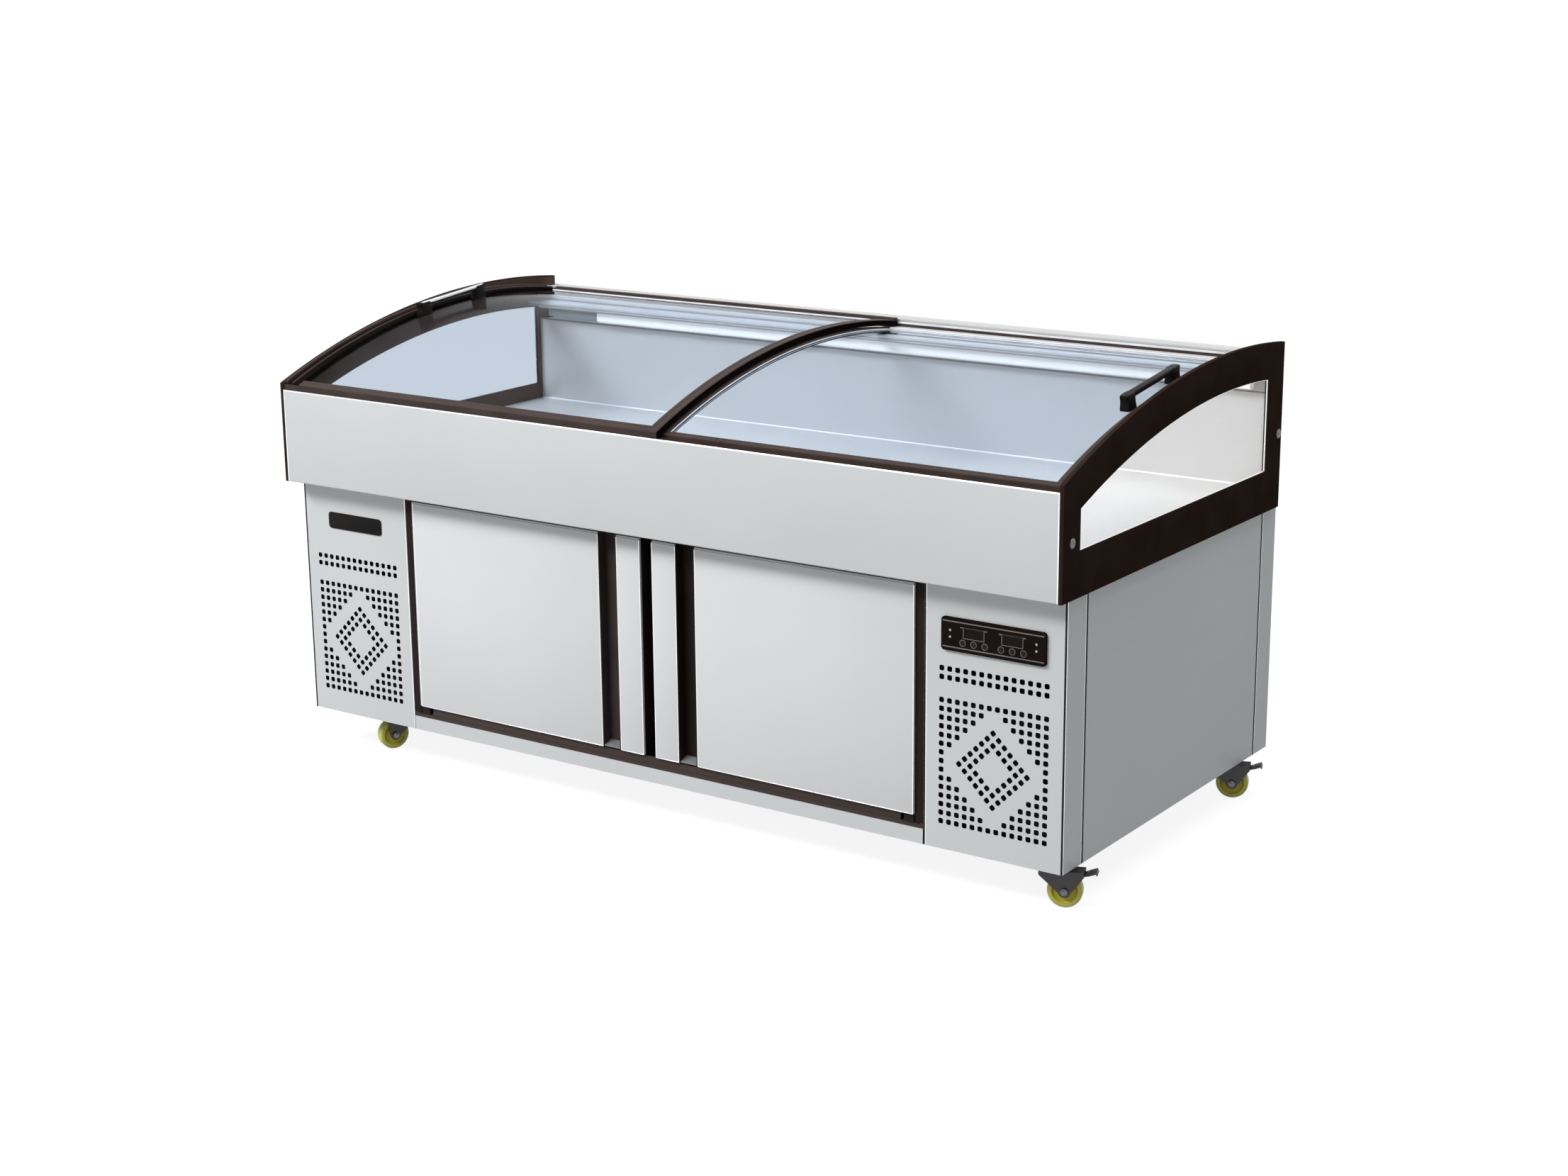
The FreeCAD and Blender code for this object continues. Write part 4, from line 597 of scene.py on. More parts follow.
class CASE_OT_fascia(CaseOperator):
    """Front fascia: a sheet with a rounded bend along its foot, and bright strips round it as painted
    highlights of its folded edges
    """
    bl_idname = "case.fascia"
    bl_label = "Fascia"

    def make(self, details):
        low, high = mm_box("front_fascia")
        sheet, bend, sunk = 1.5, details.sheet_bend / MM, 0.25
        face = low[1] + sunk
        outline = filleted([
            (face, high[2]), (face, low[2]), (high[1], low[2]), (high[1], low[2] + sheet),
            (face + sheet, low[2] + sheet), (face + sheet, high[2])],
            (0.5, bend, 0.5, 0.5, bend - sheet, 0.5), 6)
        add_piece("front_fascia_sheet", [drawn_out(outline, low[0], high[0])], "fascia_steel",
                  "case", ["front_fascia"])
        # bright strips along the ends and the top: painted highlights
        end, fold, brow = high[0], 2.8, 3.2
        edges = twins((end - fold, low[1], low[2] + 1), (end, low[1] + sheet, high[2]))
        edges.append(bead((fold - end, low[1], high[2] - brow), (end - fold, low[1] + sheet, high[2])))
        add_piece("fascia_edge_highlights", edges, "bright_edge", "case")


class Arch:
    """Outline in the YZ plane with a flat foot and an arched top, drawn in by a distance."""
    middle, radius, crown = 221.0, 1750.0, 905.0

    def __init__(self, front, rear, bottom, drop):
        self.front, self.rear, self.bottom, self.drop = front, rear, bottom, drop

    def loop(self, inset, steps=48):
        """Points along the foot, up the rear, over the arch z = crown - R + sqrt(R^2 - (y - middle)^2)
        and down the front, for each inset."""
        inset = np.asarray(inset, float)[None, :]
        front, rear, bottom = self.front + inset, self.rear - inset, self.bottom + inset
        radius = self.radius - self.drop - inset
        arch_y = rear + (front - rear) * np.linspace(0, 1, steps)[:, None]
        arch_z = self.crown - self.radius + np.sqrt(radius ** 2 - (arch_y - self.middle) ** 2)
        return np.concatenate([front, rear, arch_y]), np.concatenate([bottom, bottom, arch_z])


def arch_ring(hand, x, *loops):
    """Closed frame: the loops' points side by side, each at its own distance x from the middle."""
    y, z = (np.concatenate(parts, 1) for parts in zip(*loops))
    return looped(grid_points(hand * np.asarray(x), y, z))


class CASE_OT_ends(CaseOperator):
    """Arched end frames with rounded edges, brown linings, pale beads round the panes as painted highlights
    of their edges, and bolts
    """
    bl_idname = "case.ends"
    bl_label = "Ends"

    def make(self, details):
        dress("end_glass", "end_glasses")
        low, high = mm_box("right_end_frame")
        inner, outer, seat = low[0], high[0], low[0] + 4
        outside = Arch(front=-440.0, rear=426.0, bottom=572.0, drop=0.0)
        window = Arch(front=-380.0, rear=358.0, bottom=653.0, drop=69.0)
        rebate, thin, margin = 7.0, 0.8, 2.0
        round_by = details.frame_round / MM
        turn = np.linspace(0, np.pi / 2, 4)
        ease, sink = round_by * (1 - np.cos(turn)), round_by * (1 - np.sin(turn))
        width = details.bead_width / MM
        for hand, name in ((1, "right"), (-1, "left")):
            frame_x = np.concatenate([[inner], outer - sink, outer - sink[::-1], [seat, seat, inner]])
            arch = arch_ring(hand, frame_x, outside.loop(np.concatenate([[0.0], ease])),
                             window.loop(np.concatenate([-ease[::-1], [0.0, -rebate, -rebate]])))
            add_piece(f"{name}_end_arch", [arch], "end_brown", "case",
                      [f"{name}_end_frame"])
            lining = arch_ring(hand, [inner, inner - thin, inner - thin, inner],
                               outside.loop([margin, margin]), window.loop([0.0, 0.0]))
            add_piece(f"{name}_end_lining", [lining], "lining_brown", "case")
            # the bead round each window is a painted highlight of the window's edge
            bead_x = seat + np.array([0.05, 1.6, 2.0, 1.2, 0.7, 0.05])
            pale = arch_ring(hand, bead_x, window.loop([0.05, 0.05, 0.5, width - 0.4, width, width]))
            add_piece(f"{name}_window_highlight_bead", [pale], "bright_edge", "case")
        self.make_bolts(outer)

    def make_bolts(self, face):
        """Domes of half-ellipse section with a socket in the crown, each on a dark washer."""
        low, high = mm_box("end_bolts")
        radius, rim, brim, sides = 8.6, 6.0, 0.8, 32
        dome = high[0] - face
        swing = np.linspace(0, np.pi / 2 * 0.9, 8)
        crown = np.column_stack([brim + (dome - brim) * np.sin(swing) / np.sin(swing[-1]),
                                 radius * np.cos(swing)])
        socket = [(dome, 1.6), (dome - 1.2, 1.5), (dome - 1.2, 0.3)]
        head = np.concatenate([[(0.0, radius)], crown, socket])
        washer = [(0.0, radius + 2), (0.6, radius + 2), (0.9, radius + 1.5), (0.9, radius - 1)]
        spots = [(hand, (hand * face, y, z)) for hand in (-1, 1)
                 for y, z in ((low[1] + rim, low[2] + rim), (high[1] - rim, high[2] - rim))]
        add_piece("end_bolt_heads", [turned(head, spot, (hand, 0, 0), sides) for hand, spot in spots],
                  "bolt_steel", "case", ["end_bolts"])
        add_piece("end_bolt_washers", [turned(washer, spot, (hand, 0, 0), sides) for hand, spot in spots],
                  "moulded_black", "case")


class Lid:
    """Arched lid: X from start to end, Y from front to rear, arcs about one middle. The pane's top and
    foot are lifts from the outer arc."""
    middle = 144.0
    pane_top, pane_foot = -4.0, -8.0

    def __init__(self, hand, radius, crown):
        low, high = mm_box(f"{hand}_lid_frame")
        self.start, self.end, self.front, self.rear = low[0], high[0], low[1], high[1]
        self.radius, self.base = radius, crown - radius

    def height(self, y, lift):
        """Arc of radius R + lift about the lid's own centre, over y."""
        return self.base + np.sqrt((self.radius + lift) ** 2 - (y - self.middle) ** 2)

    def ring(self, inset_x, inset_y, lift, steps=56):
        """Cross-section points carried round the lid's edge: down one stile, up the other."""
        inset_x, inset_y, lift = (np.asarray(size, float)[None, :] for size in (inset_x, inset_y, lift))
        along = np.linspace(0, 1, steps)
        across = np.repeat([0.0, 1.0], steps)[:, None]
        along = np.concatenate([along[::-1], along])[:, None]
        x = self.start + inset_x + across * (self.end - self.start - 2 * inset_x)
        y = self.front + inset_y + along * (self.rear - self.front - 2 * inset_y)
        return looped(grid_points(x, y, self.height(y, lift)))

    def swept(self, x, lift, inset_y, steps=72):
        """An outline of (x, lift) points carried along the arc from the front to the rear."""
        y = np.linspace(self.front + inset_y, self.rear - inset_y, steps)[:, None]
        return lofted(grid_points(np.asarray(x), y, self.height(y, np.asarray(lift)[None, :])))


class CASE_OT_lids(CaseOperator):
    """Sliding lids: grooved curved frames, glazing seals in pale as painted highlights, bent glass, black
    strips of painted shade on the left lid, and bridge handles
    """
    bl_idname = "case.lids"
    bl_label = "Lids"

    def make(self, details):
        stile, depth, lap = 24.0, 12.0, 2
        groove = details.lid_groove / MM
        # share across the frame from its outer to its inner edge, and lift from the outer arc
        share = np.array([0, 0, 0.02, 0.07, 0.40, 0.44, 0.47, 0.56, 0.59, 0.63, 0.90, 0.97, 1, 1, 0.97])
        lift = np.array([-depth, -1.8, -0.6, 0, 0, -0.3, -groove, -groove, -0.3, 0, 0, -0.7, -2.0,
                         -depth + 0.6, -depth])
        for hand, radius, crown, handle_y, bar in (("left", 1517.0, 890.4, 10.0, 18.0),
                                                   ("right", 1502.0, 875.4, -45.0, 12.0)):
            lid = Lid(hand, radius, crown)
            body = f"{hand}_lid"
            add_piece(f"{hand}_lid_arch", [lid.ring(share * stile, share * bar, lift)],
                      "lid_brown", body, [f"{hand}_lid_frame"])
            # the glazing seals are pale as painted highlight lines along the panes' edges
            over = np.array([-0.5, -0.5, 0.4, 1.3, 1.8, 1.8])
            top, foot = lid.pane_top, lid.pane_foot
            seals = [lid.ring(stile + over, bar + over, [top, -2.6, -2.2, -2.6, -3.4, top]),
                     lid.ring(stile + over, bar + over, [foot, -9.0, -9.3, -9.0, -8.6, foot])]
            add_piece(f"{hand}_lid_seal_highlight", seals, "pale_bead", body)
            left, right = lid.start + stile - lap, lid.end - stile + lap
            pane = lid.swept([left, left, right, right], [foot, top, top, foot], bar - lap)
            add_piece(f"{hand}_lid_pane", [pane], "lid_glass", body,
                      [f"{hand}_lid_glass"])
            self.make_handle(hand, lid, body, handle_y)
            if hand == "left":
                self.make_shade_covers(lid, body, stile)
            else:
                self.make_strip(lid, body, stile, bar)

    def make_strip(self, lid, body, stile, bar):
        """Pale strip over the rear bar, with a lip down its front edge and a bead under the pane."""
        face, clear = lid.rear - bar, 2
        over = face - np.array([0.3 - bar, 0.3 - bar, 0.9, 1.5, 1.5, 0.9, 0.9])
        under = face - np.array([-0.2, -0.2, 1.0, 1.0])
        shapes = ((over, np.array([0.1, 0.7, 0.7, 0.1, -2.0, -2.0, 0.1])),
                  (under, np.array([-11.9, -9.4, -9.4, -11.9])))
        ends = lid.start + stile + clear, lid.end - stile - clear
        strips = [drawn_out(np.column_stack([y, lid.height(y, lift)]), *ends) for y, lift in shapes]
        add_piece("right_lid_strip", strips, "pale_bead", body)

    def make_shade_covers(self, lid, body, stile):
        """Black cover on the outer stile as painted shade, with brown ridges in the frame's own colour on
        it, a black strip on the meeting side as painted shade of that side face, and a brown ridge along the
        rear."""
        start, end = lid.start, lid.end
        wide = stile + 16.0
        cover = lid.swept(start + np.array([0.1, 0.1, 0.4, wide - 1.5, wide, wide]),
                          [-11.9, 0.5, 0.9, 0.9, -0.8, -11.9], 0.2)
        side_shade = lid.swept(end + np.array([-0.3, -0.3, 0.7, 0.7]), [-11.8, -1.2, -1.2, -11.8], 0.2)
        # the cover and the side strip are painted shade
        add_piece("left_lid_shade_cover", [cover, side_shade], "guard_black", body)
        crest = np.array([0, 0.04, 0.2, 0.5, 0.8, 0.96, 1])
        rise = np.array([0.0, 0.66, 0.9, 1.0, 0.9, 0.66, 0.0])
        ridges = [lid.swept(start + near + across * crest, 0.6 + tall * rise, 1.2)
                  for near, across, tall in ((3.0, 6.5, 6.0), (21.0, 4.0, 3.0))]
        near, back, brink = lid.rear - 9, lid.rear - 0.3, lid.height(lid.rear, 0.0)
        outline = filleted([(near, brink - 2), (back, brink - 2), (back, brink + 6), (near, brink + 5)],
                           1.0, 4)
        ridges.append(drawn_out(outline, start + wide, end))
        add_piece("left_lid_ridges", ridges, "lid_brown", body)

    def make_handle(self, hand, lid, body, y):
        """Bridge on two tapered feet, with a bright strip along its back as a painted highlight."""
        low, high = mm_box(f"{hand}_lid_handle")
        x = (low[0] + high[0]) / 2
        foot_in, foot_out, length, tall, bar, half = 71.0, 101.0, 206.0, 30.0, 10.0, 7.5
        seats = lid.height(np.array([y - foot_in, y + foot_in]), lid.pane_top)
        tilt = math.atan2(seats[1] - seats[0], 2 * foot_in)
        place = Matrix.Translation((x, y, seats.mean() + 0.3)) @ Matrix.Rotation(tilt, 4, "X")
        shells = [block((-half, -length / 2, tall - bar), (half, length / 2, tall - 0.4), "y", 2.6, 1.5)]
        for side in (-1, 1):
            middle = side * (foot_in + foot_out) / 2
            heights = np.array([0.0, 0.8, 4.0, 12.0, tall - 3.0, tall - 0.5])
            half_x = np.array([9.2, 10.0, 10.0, 9.4, 8.8, 7.6])
            half_y = np.array([14.2, 15.0, 15.0, 13.6, 13.0, 11.8])
            outline = rounded_outline(half_x, half_y, np.array([2.5, 3.0, 3.0, 2.8, 2.6, 2.0]))
            shells.append(lofted(grid_points(outline[..., 0], outline[..., 1] + middle, heights[:, None])))
        add_piece(f"{hand}_lid_bridge", [at_place(shell, place) for shell in shells],
                  "moulded_black", body, [f"{hand}_lid_handle"])
        # the strip, a painted highlight, shows on the side that faces the other lid
        near, far, top = (1.5, 7.9, tall) if hand == "left" else (-7.9, -5.5, tall - 2)
        reach, thick = length / 2 - 7, 5.5
        strip = block((near, -reach, top - thick), (far, reach, top), "y", 1.2, 0.6)
        add_piece(f"{hand}_handle_highlight_strip", [at_place(strip, place)], "bright_edge", body)


class CASE_OT_doors(CaseOperator):
    """Doors: steel fronts each side of the grip channel on dark edge trims of painted shade, bright beads of
    painted highlight on their edges, grip channels in a lit and a shaded copy of one brown, dark jambs of
    painted shade, seals, inner liners, a sill
    """
    bl_idname = "case.doors"
    bl_label = "Doors"

    def make(self, details):
        corner, deep = details.door_corner / MM, details.door_skin / MM
        head = details.head_gap / MM
        low, high = mm_box("door_frame")
        front, foot, door_foot = low[1], low[2], mm_box("left_door_skin")[0][2]
        half_sill, sill_depth, sill_lift, under, jamb, jamb_lift = 560.0, 6, 8, 2.5, 590.5, 10
        sill = block((-half_sill, front + 0.1, foot + sill_lift),
                     (half_sill, front + sill_depth, door_foot - under), "x", 0.8, 0.5)
        add_piece("door_sill", [sill], "frame_brown", "case")
        # dark jambs: painted shade at the sides of the door opening
        jambs = twins((jamb, front - 0.3, foot + jamb_lift), (high[0] - 0.3, front + 0.5, high[2] - 0.5))
        add_piece("door_jamb_shade", jambs, "channel_dark", "case")
        slim, clear = 2.0, 0.8
        # the right grip channel takes a shaded copy of the brown and the left one a lit copy: painted shade
        # and painted light
        for hand, channel in (("right", "channel_dark"), ("left", "channel_brown")):
            body = f"{hand}_door"
            dress(channel, f"{hand}_door_grip")
            dress("liner_white", f"{hand}_door_core")
            dress("soft_seal", f"{hand}_door_gasket")
            low, high = mm_box(f"{hand}_door_skin")
            grip_low, grip_high = mm_box(f"{hand}_door_grip")
            spans = ((low[0], grip_low[0]), (grip_high[0], high[0]))
            fronts, trims, edges = [], [], []
            for left, right in spans:
                if left == low[0] and hand == "left":
                    left += details.hinge_gap / MM
                fronts.append(block((left, low[1] + 0.2, low[2]), (right, low[1] + deep, high[2] - head),
                                    "z", corner, 0.8))
                # the dark trims behind the fronts are painted shade in the gaps round the doors
                trims.append(block((left + clear, low[1] + deep, low[2] + clear),
                                   (right - clear, high[1], high[2] - clear), "z", 1.0, 0.5))
                # bright beads on the fronts' edges are painted highlights
                for side in (left, right - slim):
                    edges.append(bead((side, low[1], low[2] + 0.5),
                                      (side + slim, low[1] + slim, high[2] - head - 0.5)))
                edges.append(bead((left + slim, low[1], low[2]),
                                  (right - slim, low[1] + 1.6, low[2] + 1.6)))
            add_piece(f"{hand}_door_panels", fronts, "door_steel", body,
                      [f"{hand}_door_skin"])
            add_piece(f"{hand}_door_shade_trims", trims, "channel_dark", body)
            add_piece(f"{hand}_door_edge_highlights", edges, "bright_edge", body)
            # a ramp closes the channel's foot: low at the front, high at its back
            back, front, foot, wall = grip_high[1] - 2.0, grip_low[1] + 1.5, grip_low[2], 2.1
            ramp = [(front, foot + 0.2), (back, foot + 0.2), (back, foot + 9.0), (front, foot + 2.0)]
            add_piece(f"{hand}_grip_ramp", [drawn_out(ramp, grip_low[0] + wall, grip_high[0] - wall)],
                      "grey_sheet", body)
            seal_low, seal_high = mm_box(f"{hand}_door_gasket")
            rim = 22.0
            liner = block((seal_low[0] + rim, seal_low[1] - 1, seal_low[2] + rim),
                          (seal_high[0] - rim, seal_low[1] + 5, seal_high[2] - rim), "y", 14.0, 2.5)
            add_piece(f"{hand}_door_liner", [liner], "liner_white", body)


class CASE_OT_beam(CaseOperator):
    """Dark front rail, the rear beam as a stepped white profile, and the light strip under it"""
    bl_idname = "case.beam"
    bl_label = "Rails and light"

    def make(self, details):
        dress("end_brown", "front_rail")
        self.make_profile()
        self.make_light()
        self.make_basin_trims()

    def make_profile(self):
        """Stepped section drawn out along the beam, with a seal, a pale strip on its upright face as painted
        highlight, and two dark strips in its notches as painted shade.
        """
        low, high = mm_box("rear_beam")
        lower, upper, step, stop = low[2] + 11.0, high[2] - 20.0, low[1] + 31.0, low[1] + 59.0
        crest = high[2] - 4.5
        outline = filleted([
            (low[1], low[2]), (high[1], low[2]), (high[1], crest), (high[1] - 6, crest),
            (high[1] - 8, crest - 1.6), (stop + 12, crest - 1.6), (stop + 10, crest), (stop, crest),
            (stop, crest - 5), (stop + 1.5, crest - 6), (stop + 1.5, crest - 9), (stop, crest - 10),
            (stop, upper), (step + 5, upper), (step + 4, upper - 1), (step, upper - 1), (step, lower + 4),
            (step + 1.2, lower + 3), (step + 1.2, lower), (low[1] + 6, lower), (low[1] + 5, lower - 1),
            (low[1], lower - 1), (low[1], low[2] + 5), (low[1] + 1.2, low[2] + 4),
            (low[1] + 1.2, low[2] + 2), (low[1], low[2] + 1)], 0.3, 3)
        add_piece("rear_beam_profile", [drawn_out(outline, low[0], high[0])], "profile_white",
                  "case", ["rear_beam"])
        start, end = low[0] + 0.5, high[0] - 0.5
        seal = bead((start, stop - 0.8, upper), (end, stop, upper + 5.5))
        add_piece("beam_seal", [seal], "lid_brown", "case")
        # dark strips in the profile's notches: painted shade
        groove_shades = [bead((start, low[1] + 0.3, low[2] + 1.2), (end, low[1] + 1.3, low[2] + 4.6)),
                   bead((start, step + 0.3, lower + 0.2), (end, step + 1.3, lower + 3.6))]
        add_piece("beam_groove_shades", groove_shades, "seam_grey", "case")
        # pale strip on the upright face: painted highlight
        face_highlight = bead((start, stop - 0.6, upper + 5.7), (end, stop + 0.4, upper + 10.0))
        add_piece("beam_face_highlight", [face_highlight], "pale_bead", "case")

    def make_light(self):
        """Housing with a round-edged diffuser under it, a bracket and an end box."""
        low, high = mm_box("light_strip")
        left, right, near, far, foot, head = low[0], high[0], low[1], high[1], low[2], high[2]
        thick, inset, box_inset, box_lift, tail = 6, 1.5, 3, 4, 6
        roof, fixed, lit = head - thick, left + 25, -706.0
        housing = filleted([(near, head), (near, roof), (far, roof), (far, head)], 0.8)
        add_piece("light_housing", [drawn_out(housing, left, right)], "profile_white", "case",
                  ["light_strip"])
        tube = filleted([(near + inset, roof), (near + inset, foot), (far - inset, foot),
                         (far - inset, roof)], (1.0, 6.0, 6.0, 1.0), 7)
        add_piece("light_tube", [drawn_out(tube, lit, right - tail)], "lamp", "case")
        bracket = [block((left, near, foot), (fixed, far, roof - 0.2), "z", 2.0, 1.0)]
        add_piece("light_bracket", bracket, "moulded_black", "case")
        end_box = filleted([(near + box_inset, roof), (near + box_inset, foot + box_lift),
                            (far - box_inset, foot + box_lift), (far - box_inset, roof)], 2.0)
        add_piece("light_end_box", [drawn_out(end_box, fixed, lit)], "grey_sheet", "case")

    def make_basin_trims(self):
        """Dark line along the rear wall under the light as a painted shadow, and a hollow cove of a quarter
        circle at its foot in lighter steel as a painted highlight line.
        """
        under = mm_box("light_strip")[0][2]
        basin_low, basin_high = mm_box("display_basin")
        sheet, cove = 1.5, 2.5
        wall, floor = basin_high[1] - sheet, basin_low[2] + sheet
        # dark line: painted shadow under the light strip
        seam = bead((basin_low[0] + 4, wall - 0.8, under - 8.5), (basin_high[0] - 4, wall, under - 5.5))
        add_piece("basin_wall_shadow", [seam], "seam_grey", "case")
        turn = np.linspace(0, np.pi / 2, 7)
        hollow = np.column_stack([wall - cove + cove * np.sin(turn),
                                  floor + cove - cove * np.cos(turn)])
        foot = np.concatenate([hollow, [(wall, floor)]])
        # the cove takes the lighter door steel as a painted highlight line
        add_piece("basin_cove_highlight", [drawn_out(foot, basin_low[0] + 0.5, basin_high[0] - 0.5)],
                  "door_steel", "case")


class CASE_OT_controls(CaseOperator):
    """Controller with its printed lines, displays, lamps and buttons, and the bare plate"""
    bl_idname = "case.controls"
    bl_label = "Controls"

    # how far a print stands out of the face and reaches into it
    proud, rooted = 0.15, 0.3

    def make(self, details):
        dress("display_window", "control_displays")
        dress("button_grey", *[f"button_{number}" for number in range(1, 7)])
        dress("bezel_black", "control_bezel")
        low, high = mm_box("name_plate")
        plate = block(low, high, "y", 7.0, 0.8)
        add_piece("bare_plate", [plate], "moulded_black", "case", ["name_plate"])
        low, high = mm_box("control_bezel")
        middle = (low[0] + high[0]) / 2
        front = mm_box("control_displays")[0][1]
        margin, inset = 3, 7
        lines = [self.print_bar(low[0] + margin, high[0] - margin, z, 1.0, front)
                 for z in (low[2] + inset, high[2] - inset)]
        display_z, rule_z, button_z, dot_z = 484.0, 493.2, 466.0, (474.0, 486.0)
        display_x, button_pitch, dot_x = 38.0, 22.0, 85.0
        half_width, half_height, corner, half_rule, button = 21.2, 9.7, 1.5, 27, 6.2
        for offset in (-display_x, display_x):
            x = middle + offset
            lines.append(self.outline(x, front, display_z, half_width, half_height, corner))
            lines.append(self.print_bar(x - half_rule, x + half_rule, rule_z, 0.8, front))
            for step in (-button_pitch, 0.0, button_pitch):
                lines.append(self.outline(x + step, front, button_z, button, button, button))
        add_piece("bezel_prints", lines, "print_grey", "case")
        dome = [(-0.4, 2.2), (0.15, 2.2), (0.35, 1.6), (0.4, 0.4)]
        dots = [turned(dome, (middle + x, front, z), (0, -1, 0), 20)
                for x in (-dot_x, dot_x) for z in dot_z]
        add_piece("lamp_dots", dots, "lamp_dot", "case")

    def print_bar(self, left, right, z, half, front):
        """Straight printed line."""
        return block((left, front - self.proud, z - half), (right, front + self.rooted, z + half),
                     "y", half * 0.8, 0.1)

    def outline(self, x, front, z, half_x, half_z, corner):
        """Thin printed line round a window or a button."""
        wide = 1.1
        outer = rounded_outline(half_x, half_z, corner, 6)[0]
        inner = rounded_outline(half_x - wide, half_z - wide, max(corner - wide, 0.4), 6)[0]
        rings = np.empty((len(outer), 4, 3))
        rings[:, :2, 0], rings[:, 2:, 0] = outer[:, :1] + x, inner[:, :1] + x
        rings[:, :2, 2], rings[:, 2:, 2] = outer[:, 1:] + z, inner[:, 1:] + z
        rings[..., 1] = front + np.array([self.rooted, -self.proud, -self.proud, self.rooted])
        return looped(rings)


class CASE_OT_casters(CaseOperator):
    """Casters: wheels with a cast tread on a dished hub, forks with axle nuts, ribbed brake pedals"""
    bl_idname = "case.casters"
    bl_label = "Casters"

    # turns and lift in degrees, the pin's reach from the swivel's middle
    turns = {"left": 245.0, "right": 20.0}
    trail, pin_reach, pin_height, lift, nut_seat = 26.0, 53.931, 59.431, 20.0, 18.4

    def make(self, details):
        for corner in ("front_left", "front_right", "rear_left", "rear_right"):
            hand = corner.split("_")[1]
            turn = math.radians(self.turns[hand])
            low, high = mm_box(f"{corner}_wheel")
            centre = (low + high) / 2
            dress("zinc", f"{corner}_fork")
            self.make_wheel(corner, centre, turn, details.wheel_sides)
            if hand == "right":
                self.make_pedal(corner, centre, turn)

    def make_wheel(self, corner, centre, turn, sides):
        """Tread and hub turned about the axle from half profiles, and a domed nut at each end of it."""
        axle = np.array((-math.sin(turn), math.cos(turn), 0))
        half_tread, core, flank, shoulder_round = 11.0, 23.2, 27.5, 4
        swing = np.linspace(0, np.pi / 2, 6)
        shoulder = np.column_stack([-half_tread + shoulder_round * (1 - np.cos(swing)),
                                    flank + shoulder_round * np.sin(swing)])
        tread = np.concatenate([[(-half_tread, core)], shoulder, (shoulder * (-1, 1))[::-1],
                                [(half_tread, core)]])
        add_piece(f"{corner}_tread", [turned(tread, centre, axle, sides, True)], "tread",
                  f"{corner}_roller", [f"{corner}_wheel"])
        half = np.array([(-11.0, 4.2), (-11.0, 8.0), (-10.2, 9.2), (-8.2, 11.2), (-7.8, 12.5),
                         (-7.8, 19.0), (-8.4, 20.4), (-10.2, 22.2), (-11.0, 22.8), (-10.6, 23.6)])
        hub = np.concatenate([half, (half * (-1, 1))[::-1]])
        add_piece(f"{corner}_hub", [turned(hub, centre, axle, sides, True)], "hub",
                  f"{corner}_roller")
        nut = [(0.0, 6.4), (1.0, 6.4), (1.4, 5.4), (1.5, 4.4), (2.8, 3.6), (3.4, 1.8), (3.5, 0.4)]
        nuts = [turned(nut, centre + side * axle * self.nut_seat, side * axle, 24)
                for side in (-1, 1)]
        add_piece(f"{corner}_axle_nuts", nuts, "bolt_steel", f"{corner}_caster")

    def make_pedal(self, corner, centre, turn):
        """Barrel on the pin, an arm and a ribbed tread with a lip, lifted about the pin. X leads away from
        the pin and Y lies along it."""
        along = np.array((math.cos(turn), math.sin(turn), 0))
        pin = centre + along * (self.pin_reach - self.trail)
        place = (Matrix.Translation((pin[0], pin[1], self.pin_height)) @ Matrix.Rotation(turn, 4, "Z")
                 @ Matrix.Rotation(-math.radians(self.lift), 4, "Y"))
        barrel = turned([(-11.8, 3.0), (-11.8, 4.6), (-11.4, 5.0), (11.4, 5.0), (11.8, 4.6), (11.8, 3.0)],
                        (0, 0, 0), (0, 1, 0), 32, True)
        shells = [barrel, block((3.0, -11.6, -1.5), (16.0, 11.6, 1.5), "z", 1.5, 0.5),
                  block((11.2, -14.0, -1.5), (29.8, 14.0, 1.3), "z", 4.0, 0.6),
                  block((27.0, -12.0, -5.0), (29.6, 12.0, 0.0), "z", 1.0, 0.5)]
        shells += [bead((x, -11.0, 1.0), (x + 1.6, 11.0, 2.0)) for x in (14.0, 18.0, 22.0)]
        add_piece(f"{corner}_brake_pedal", [at_place(shell, place) for shell in shells], "zinc",
                  f"{corner.split('_')[0]}_right_brake", [f"{corner}_pedal"])


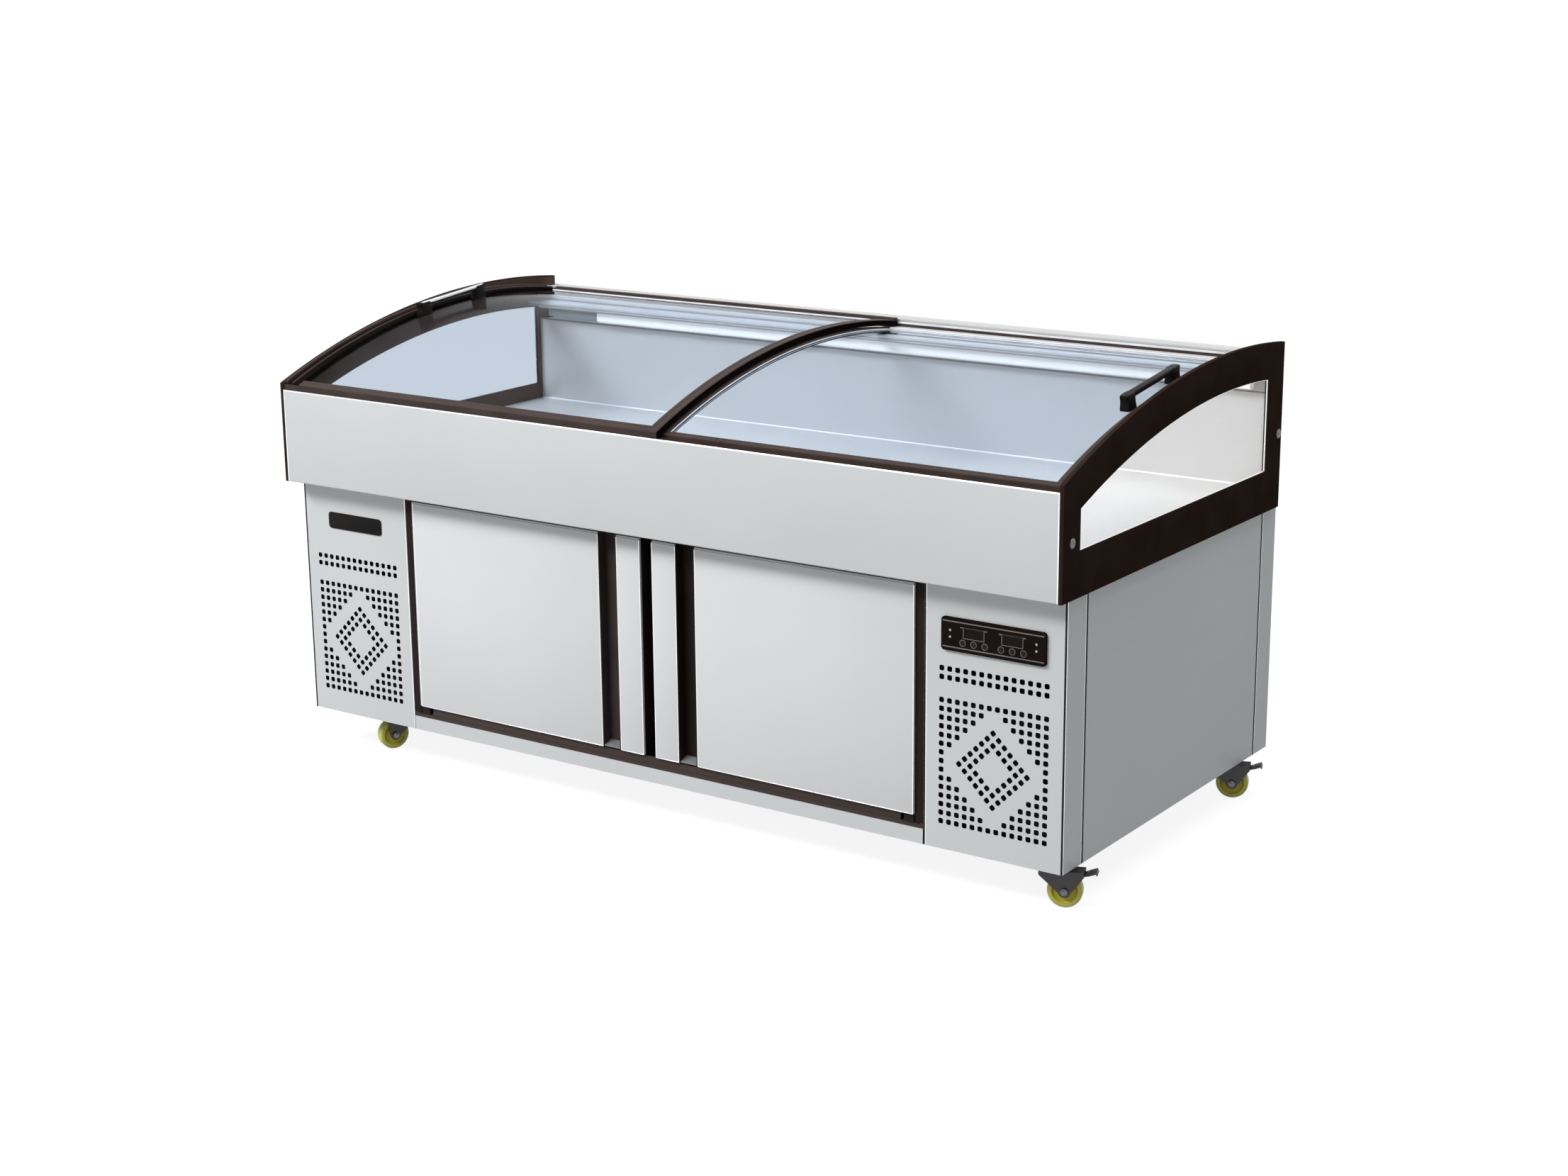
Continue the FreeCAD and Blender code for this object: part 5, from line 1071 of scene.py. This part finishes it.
class CASE_OT_stage(CaseOperator):
    """Plain pale floor, soft studio light and the camera"""
    bl_idname = "case.stage"
    bl_label = "Stage"

    def execute(self, context):
        studio = context.scene.case_studio
        context.scene.view_settings.view_transform = "Standard"
        self.add_floor()
        self.add_sky(context.scene, studio.sky)
        self.add_lamp("key_lamp", studio.key, size=(4.4, 1.3), place=(-2.5, -4.2, 4.9), target=(0, 0, 0.45))
        self.add_lamp("top_lamp", studio.top, size=(4.0, 4.0), place=(0.9, 0.1, 4.6), target=(0, 0, 0.4))
        self.add_camera(context.scene, studio)
        return {"FINISHED"}

    def seen(self, nodes, links):
        """1 for rays from the camera, from gloss and through glass."""
        path = nodes.new("ShaderNodeLightPath")
        first = nodes.new("ShaderNodeMath")
        second = nodes.new("ShaderNodeMath")
        first.operation = second.operation = "MAXIMUM"
        links.new(path.outputs["Is Camera Ray"], first.inputs[0])
        links.new(path.outputs["Is Glossy Ray"], first.inputs[1])
        links.new(first.outputs[0], second.inputs[0])
        links.new(path.outputs["Is Transmission Ray"], second.inputs[1])
        return second.outputs[0]

    def add_floor(self):
        """Wide plane under the wheels: pale, white to the eye, and it keeps the soft shadow."""
        reach, sunk, grey, level = 14.0, 0.0004, 0.22, 0.87
        corners = np.array([(-1, -1), (1, -1), (1, 1), (-1, 1)]) * reach
        mesh = bpy.data.meshes.new("floor")
        mesh.from_pydata(np.column_stack([corners, np.full(4, -sunk)]).tolist(), [], [[0, 1, 2, 3]])
        floor = bpy.data.objects.new("floor", mesh)
        bpy.context.scene.collection.objects.link(floor)
        material, tree, shader = new_finish("pale_floor", (grey, grey, grey), 0.9)
        nodes, links = tree.nodes, tree.links
        glow = nodes.new("ShaderNodeEmission")
        strength = nodes.new("ShaderNodeMath")
        strength.operation = "MULTIPLY"
        strength.inputs[1].default_value = level
        links.new(self.seen(nodes, links), strength.inputs[0])
        links.new(strength.outputs[0], glow.inputs["Strength"])
        add = nodes.new("ShaderNodeAddShader")
        links.new(shader.outputs["BSDF"], add.inputs[0])
        links.new(glow.outputs["Emission"], add.inputs[1])
        links.new(add.outputs["Shader"], nodes["Material Output"].inputs["Surface"])
        mesh.materials.append(material)

    def add_sky(self, scene, strength):
        """White to the eye, in gloss and through glass, and a softer even light on surfaces."""
        world = bpy.data.worlds.new("studio")
        world.use_nodes = True
        scene.world = world
        nodes, links = world.node_tree.nodes, world.node_tree.links
        plain = nodes["Background"]
        plain.inputs["Color"].default_value = (1, 1, 1, 1)
        plain.inputs["Strength"].default_value = strength
        white = nodes.new("ShaderNodeBackground")
        white.inputs["Color"].default_value = (1, 1, 1, 1)
        mix = nodes.new("ShaderNodeMixShader")
        links.new(self.seen(nodes, links), mix.inputs["Fac"])
        links.new(plain.outputs["Background"], mix.inputs[1])
        links.new(white.outputs["Background"], mix.inputs[2])
        links.new(mix.outputs["Shader"], nodes["World Output"].inputs["Surface"])

    def add_lamp(self, name, power, size, place, target):
        """Flat lamp of a width and a height, turned to a target."""
        lamp = bpy.data.lights.new(name, "AREA")
        lamp.shape, lamp.energy = "RECTANGLE", power
        lamp.size, lamp.size_y = size
        holder = bpy.data.objects.new(name, lamp)
        holder.location = place
        holder.rotation_euler = (Vector(target) - Vector(place)).to_track_quat("-Z", "Y").to_euler()
        bpy.context.scene.collection.objects.link(holder)

    def add_camera(self, scene, studio):
        """Camera turned by yaw about Z, tilted down by pitch and leaned by roll."""
        data = bpy.data.cameras.new("camera")
        data.sensor_fit = "HORIZONTAL"
        data.sensor_width = 36.0
        data.lens = studio.lens
        camera = bpy.data.objects.new("camera", data)
        camera.matrix_world = (Matrix.Translation(studio.place) @ Matrix.Rotation(studio.yaw, 4, "Z")
                               @ Matrix.Rotation(math.pi / 2 - studio.pitch, 4, "X")
                               @ Matrix.Rotation(studio.roll, 4, "Z"))
        scene.collection.objects.link(camera)
        scene.camera = camera


STEPS = (CASE_OT_cabinet, CASE_OT_vents, CASE_OT_fascia, CASE_OT_ends, CASE_OT_lids, CASE_OT_doors,
         CASE_OT_beam, CASE_OT_controls, CASE_OT_casters, CASE_OT_stage)


class CASE_PT_panel(bpy.types.Panel):
    """Steps and settings of the display case"""
    bl_idname = "CASE_PT_panel"
    bl_label = "Display Case"
    bl_space_type = "VIEW_3D"
    bl_region_type = "UI"
    bl_category = "Display Case"

    def draw(self, context):
        for step in STEPS:
            self.layout.operator(step.bl_idname)
        for group in (context.scene.case_finishes, context.scene.case_details, context.scene.case_studio):
            box = self.layout.box()
            for name in group.__annotations__:
                box.prop(group, name)


GROUPS = {"case_finishes": CaseFinishes, "case_details": CaseDetails, "case_studio": CaseStudio}


def register():
    for item in (*GROUPS.values(), *STEPS, CASE_PT_panel):
        bpy.utils.register_class(item)
    for name, group in GROUPS.items():
        setattr(bpy.types.Scene, name, PointerProperty(type=group))


def unregister():
    for name in GROUPS:
        delattr(bpy.types.Scene, name)
    for item in reversed((*GROUPS.values(), *STEPS, CASE_PT_panel)):
        bpy.utils.unregister_class(item)


def main():
    register()
    for step in STEPS:
        family, call = step.bl_idname.split(".")
        getattr(getattr(bpy.ops, family), call)()


if __name__ == "__main__":
    main()
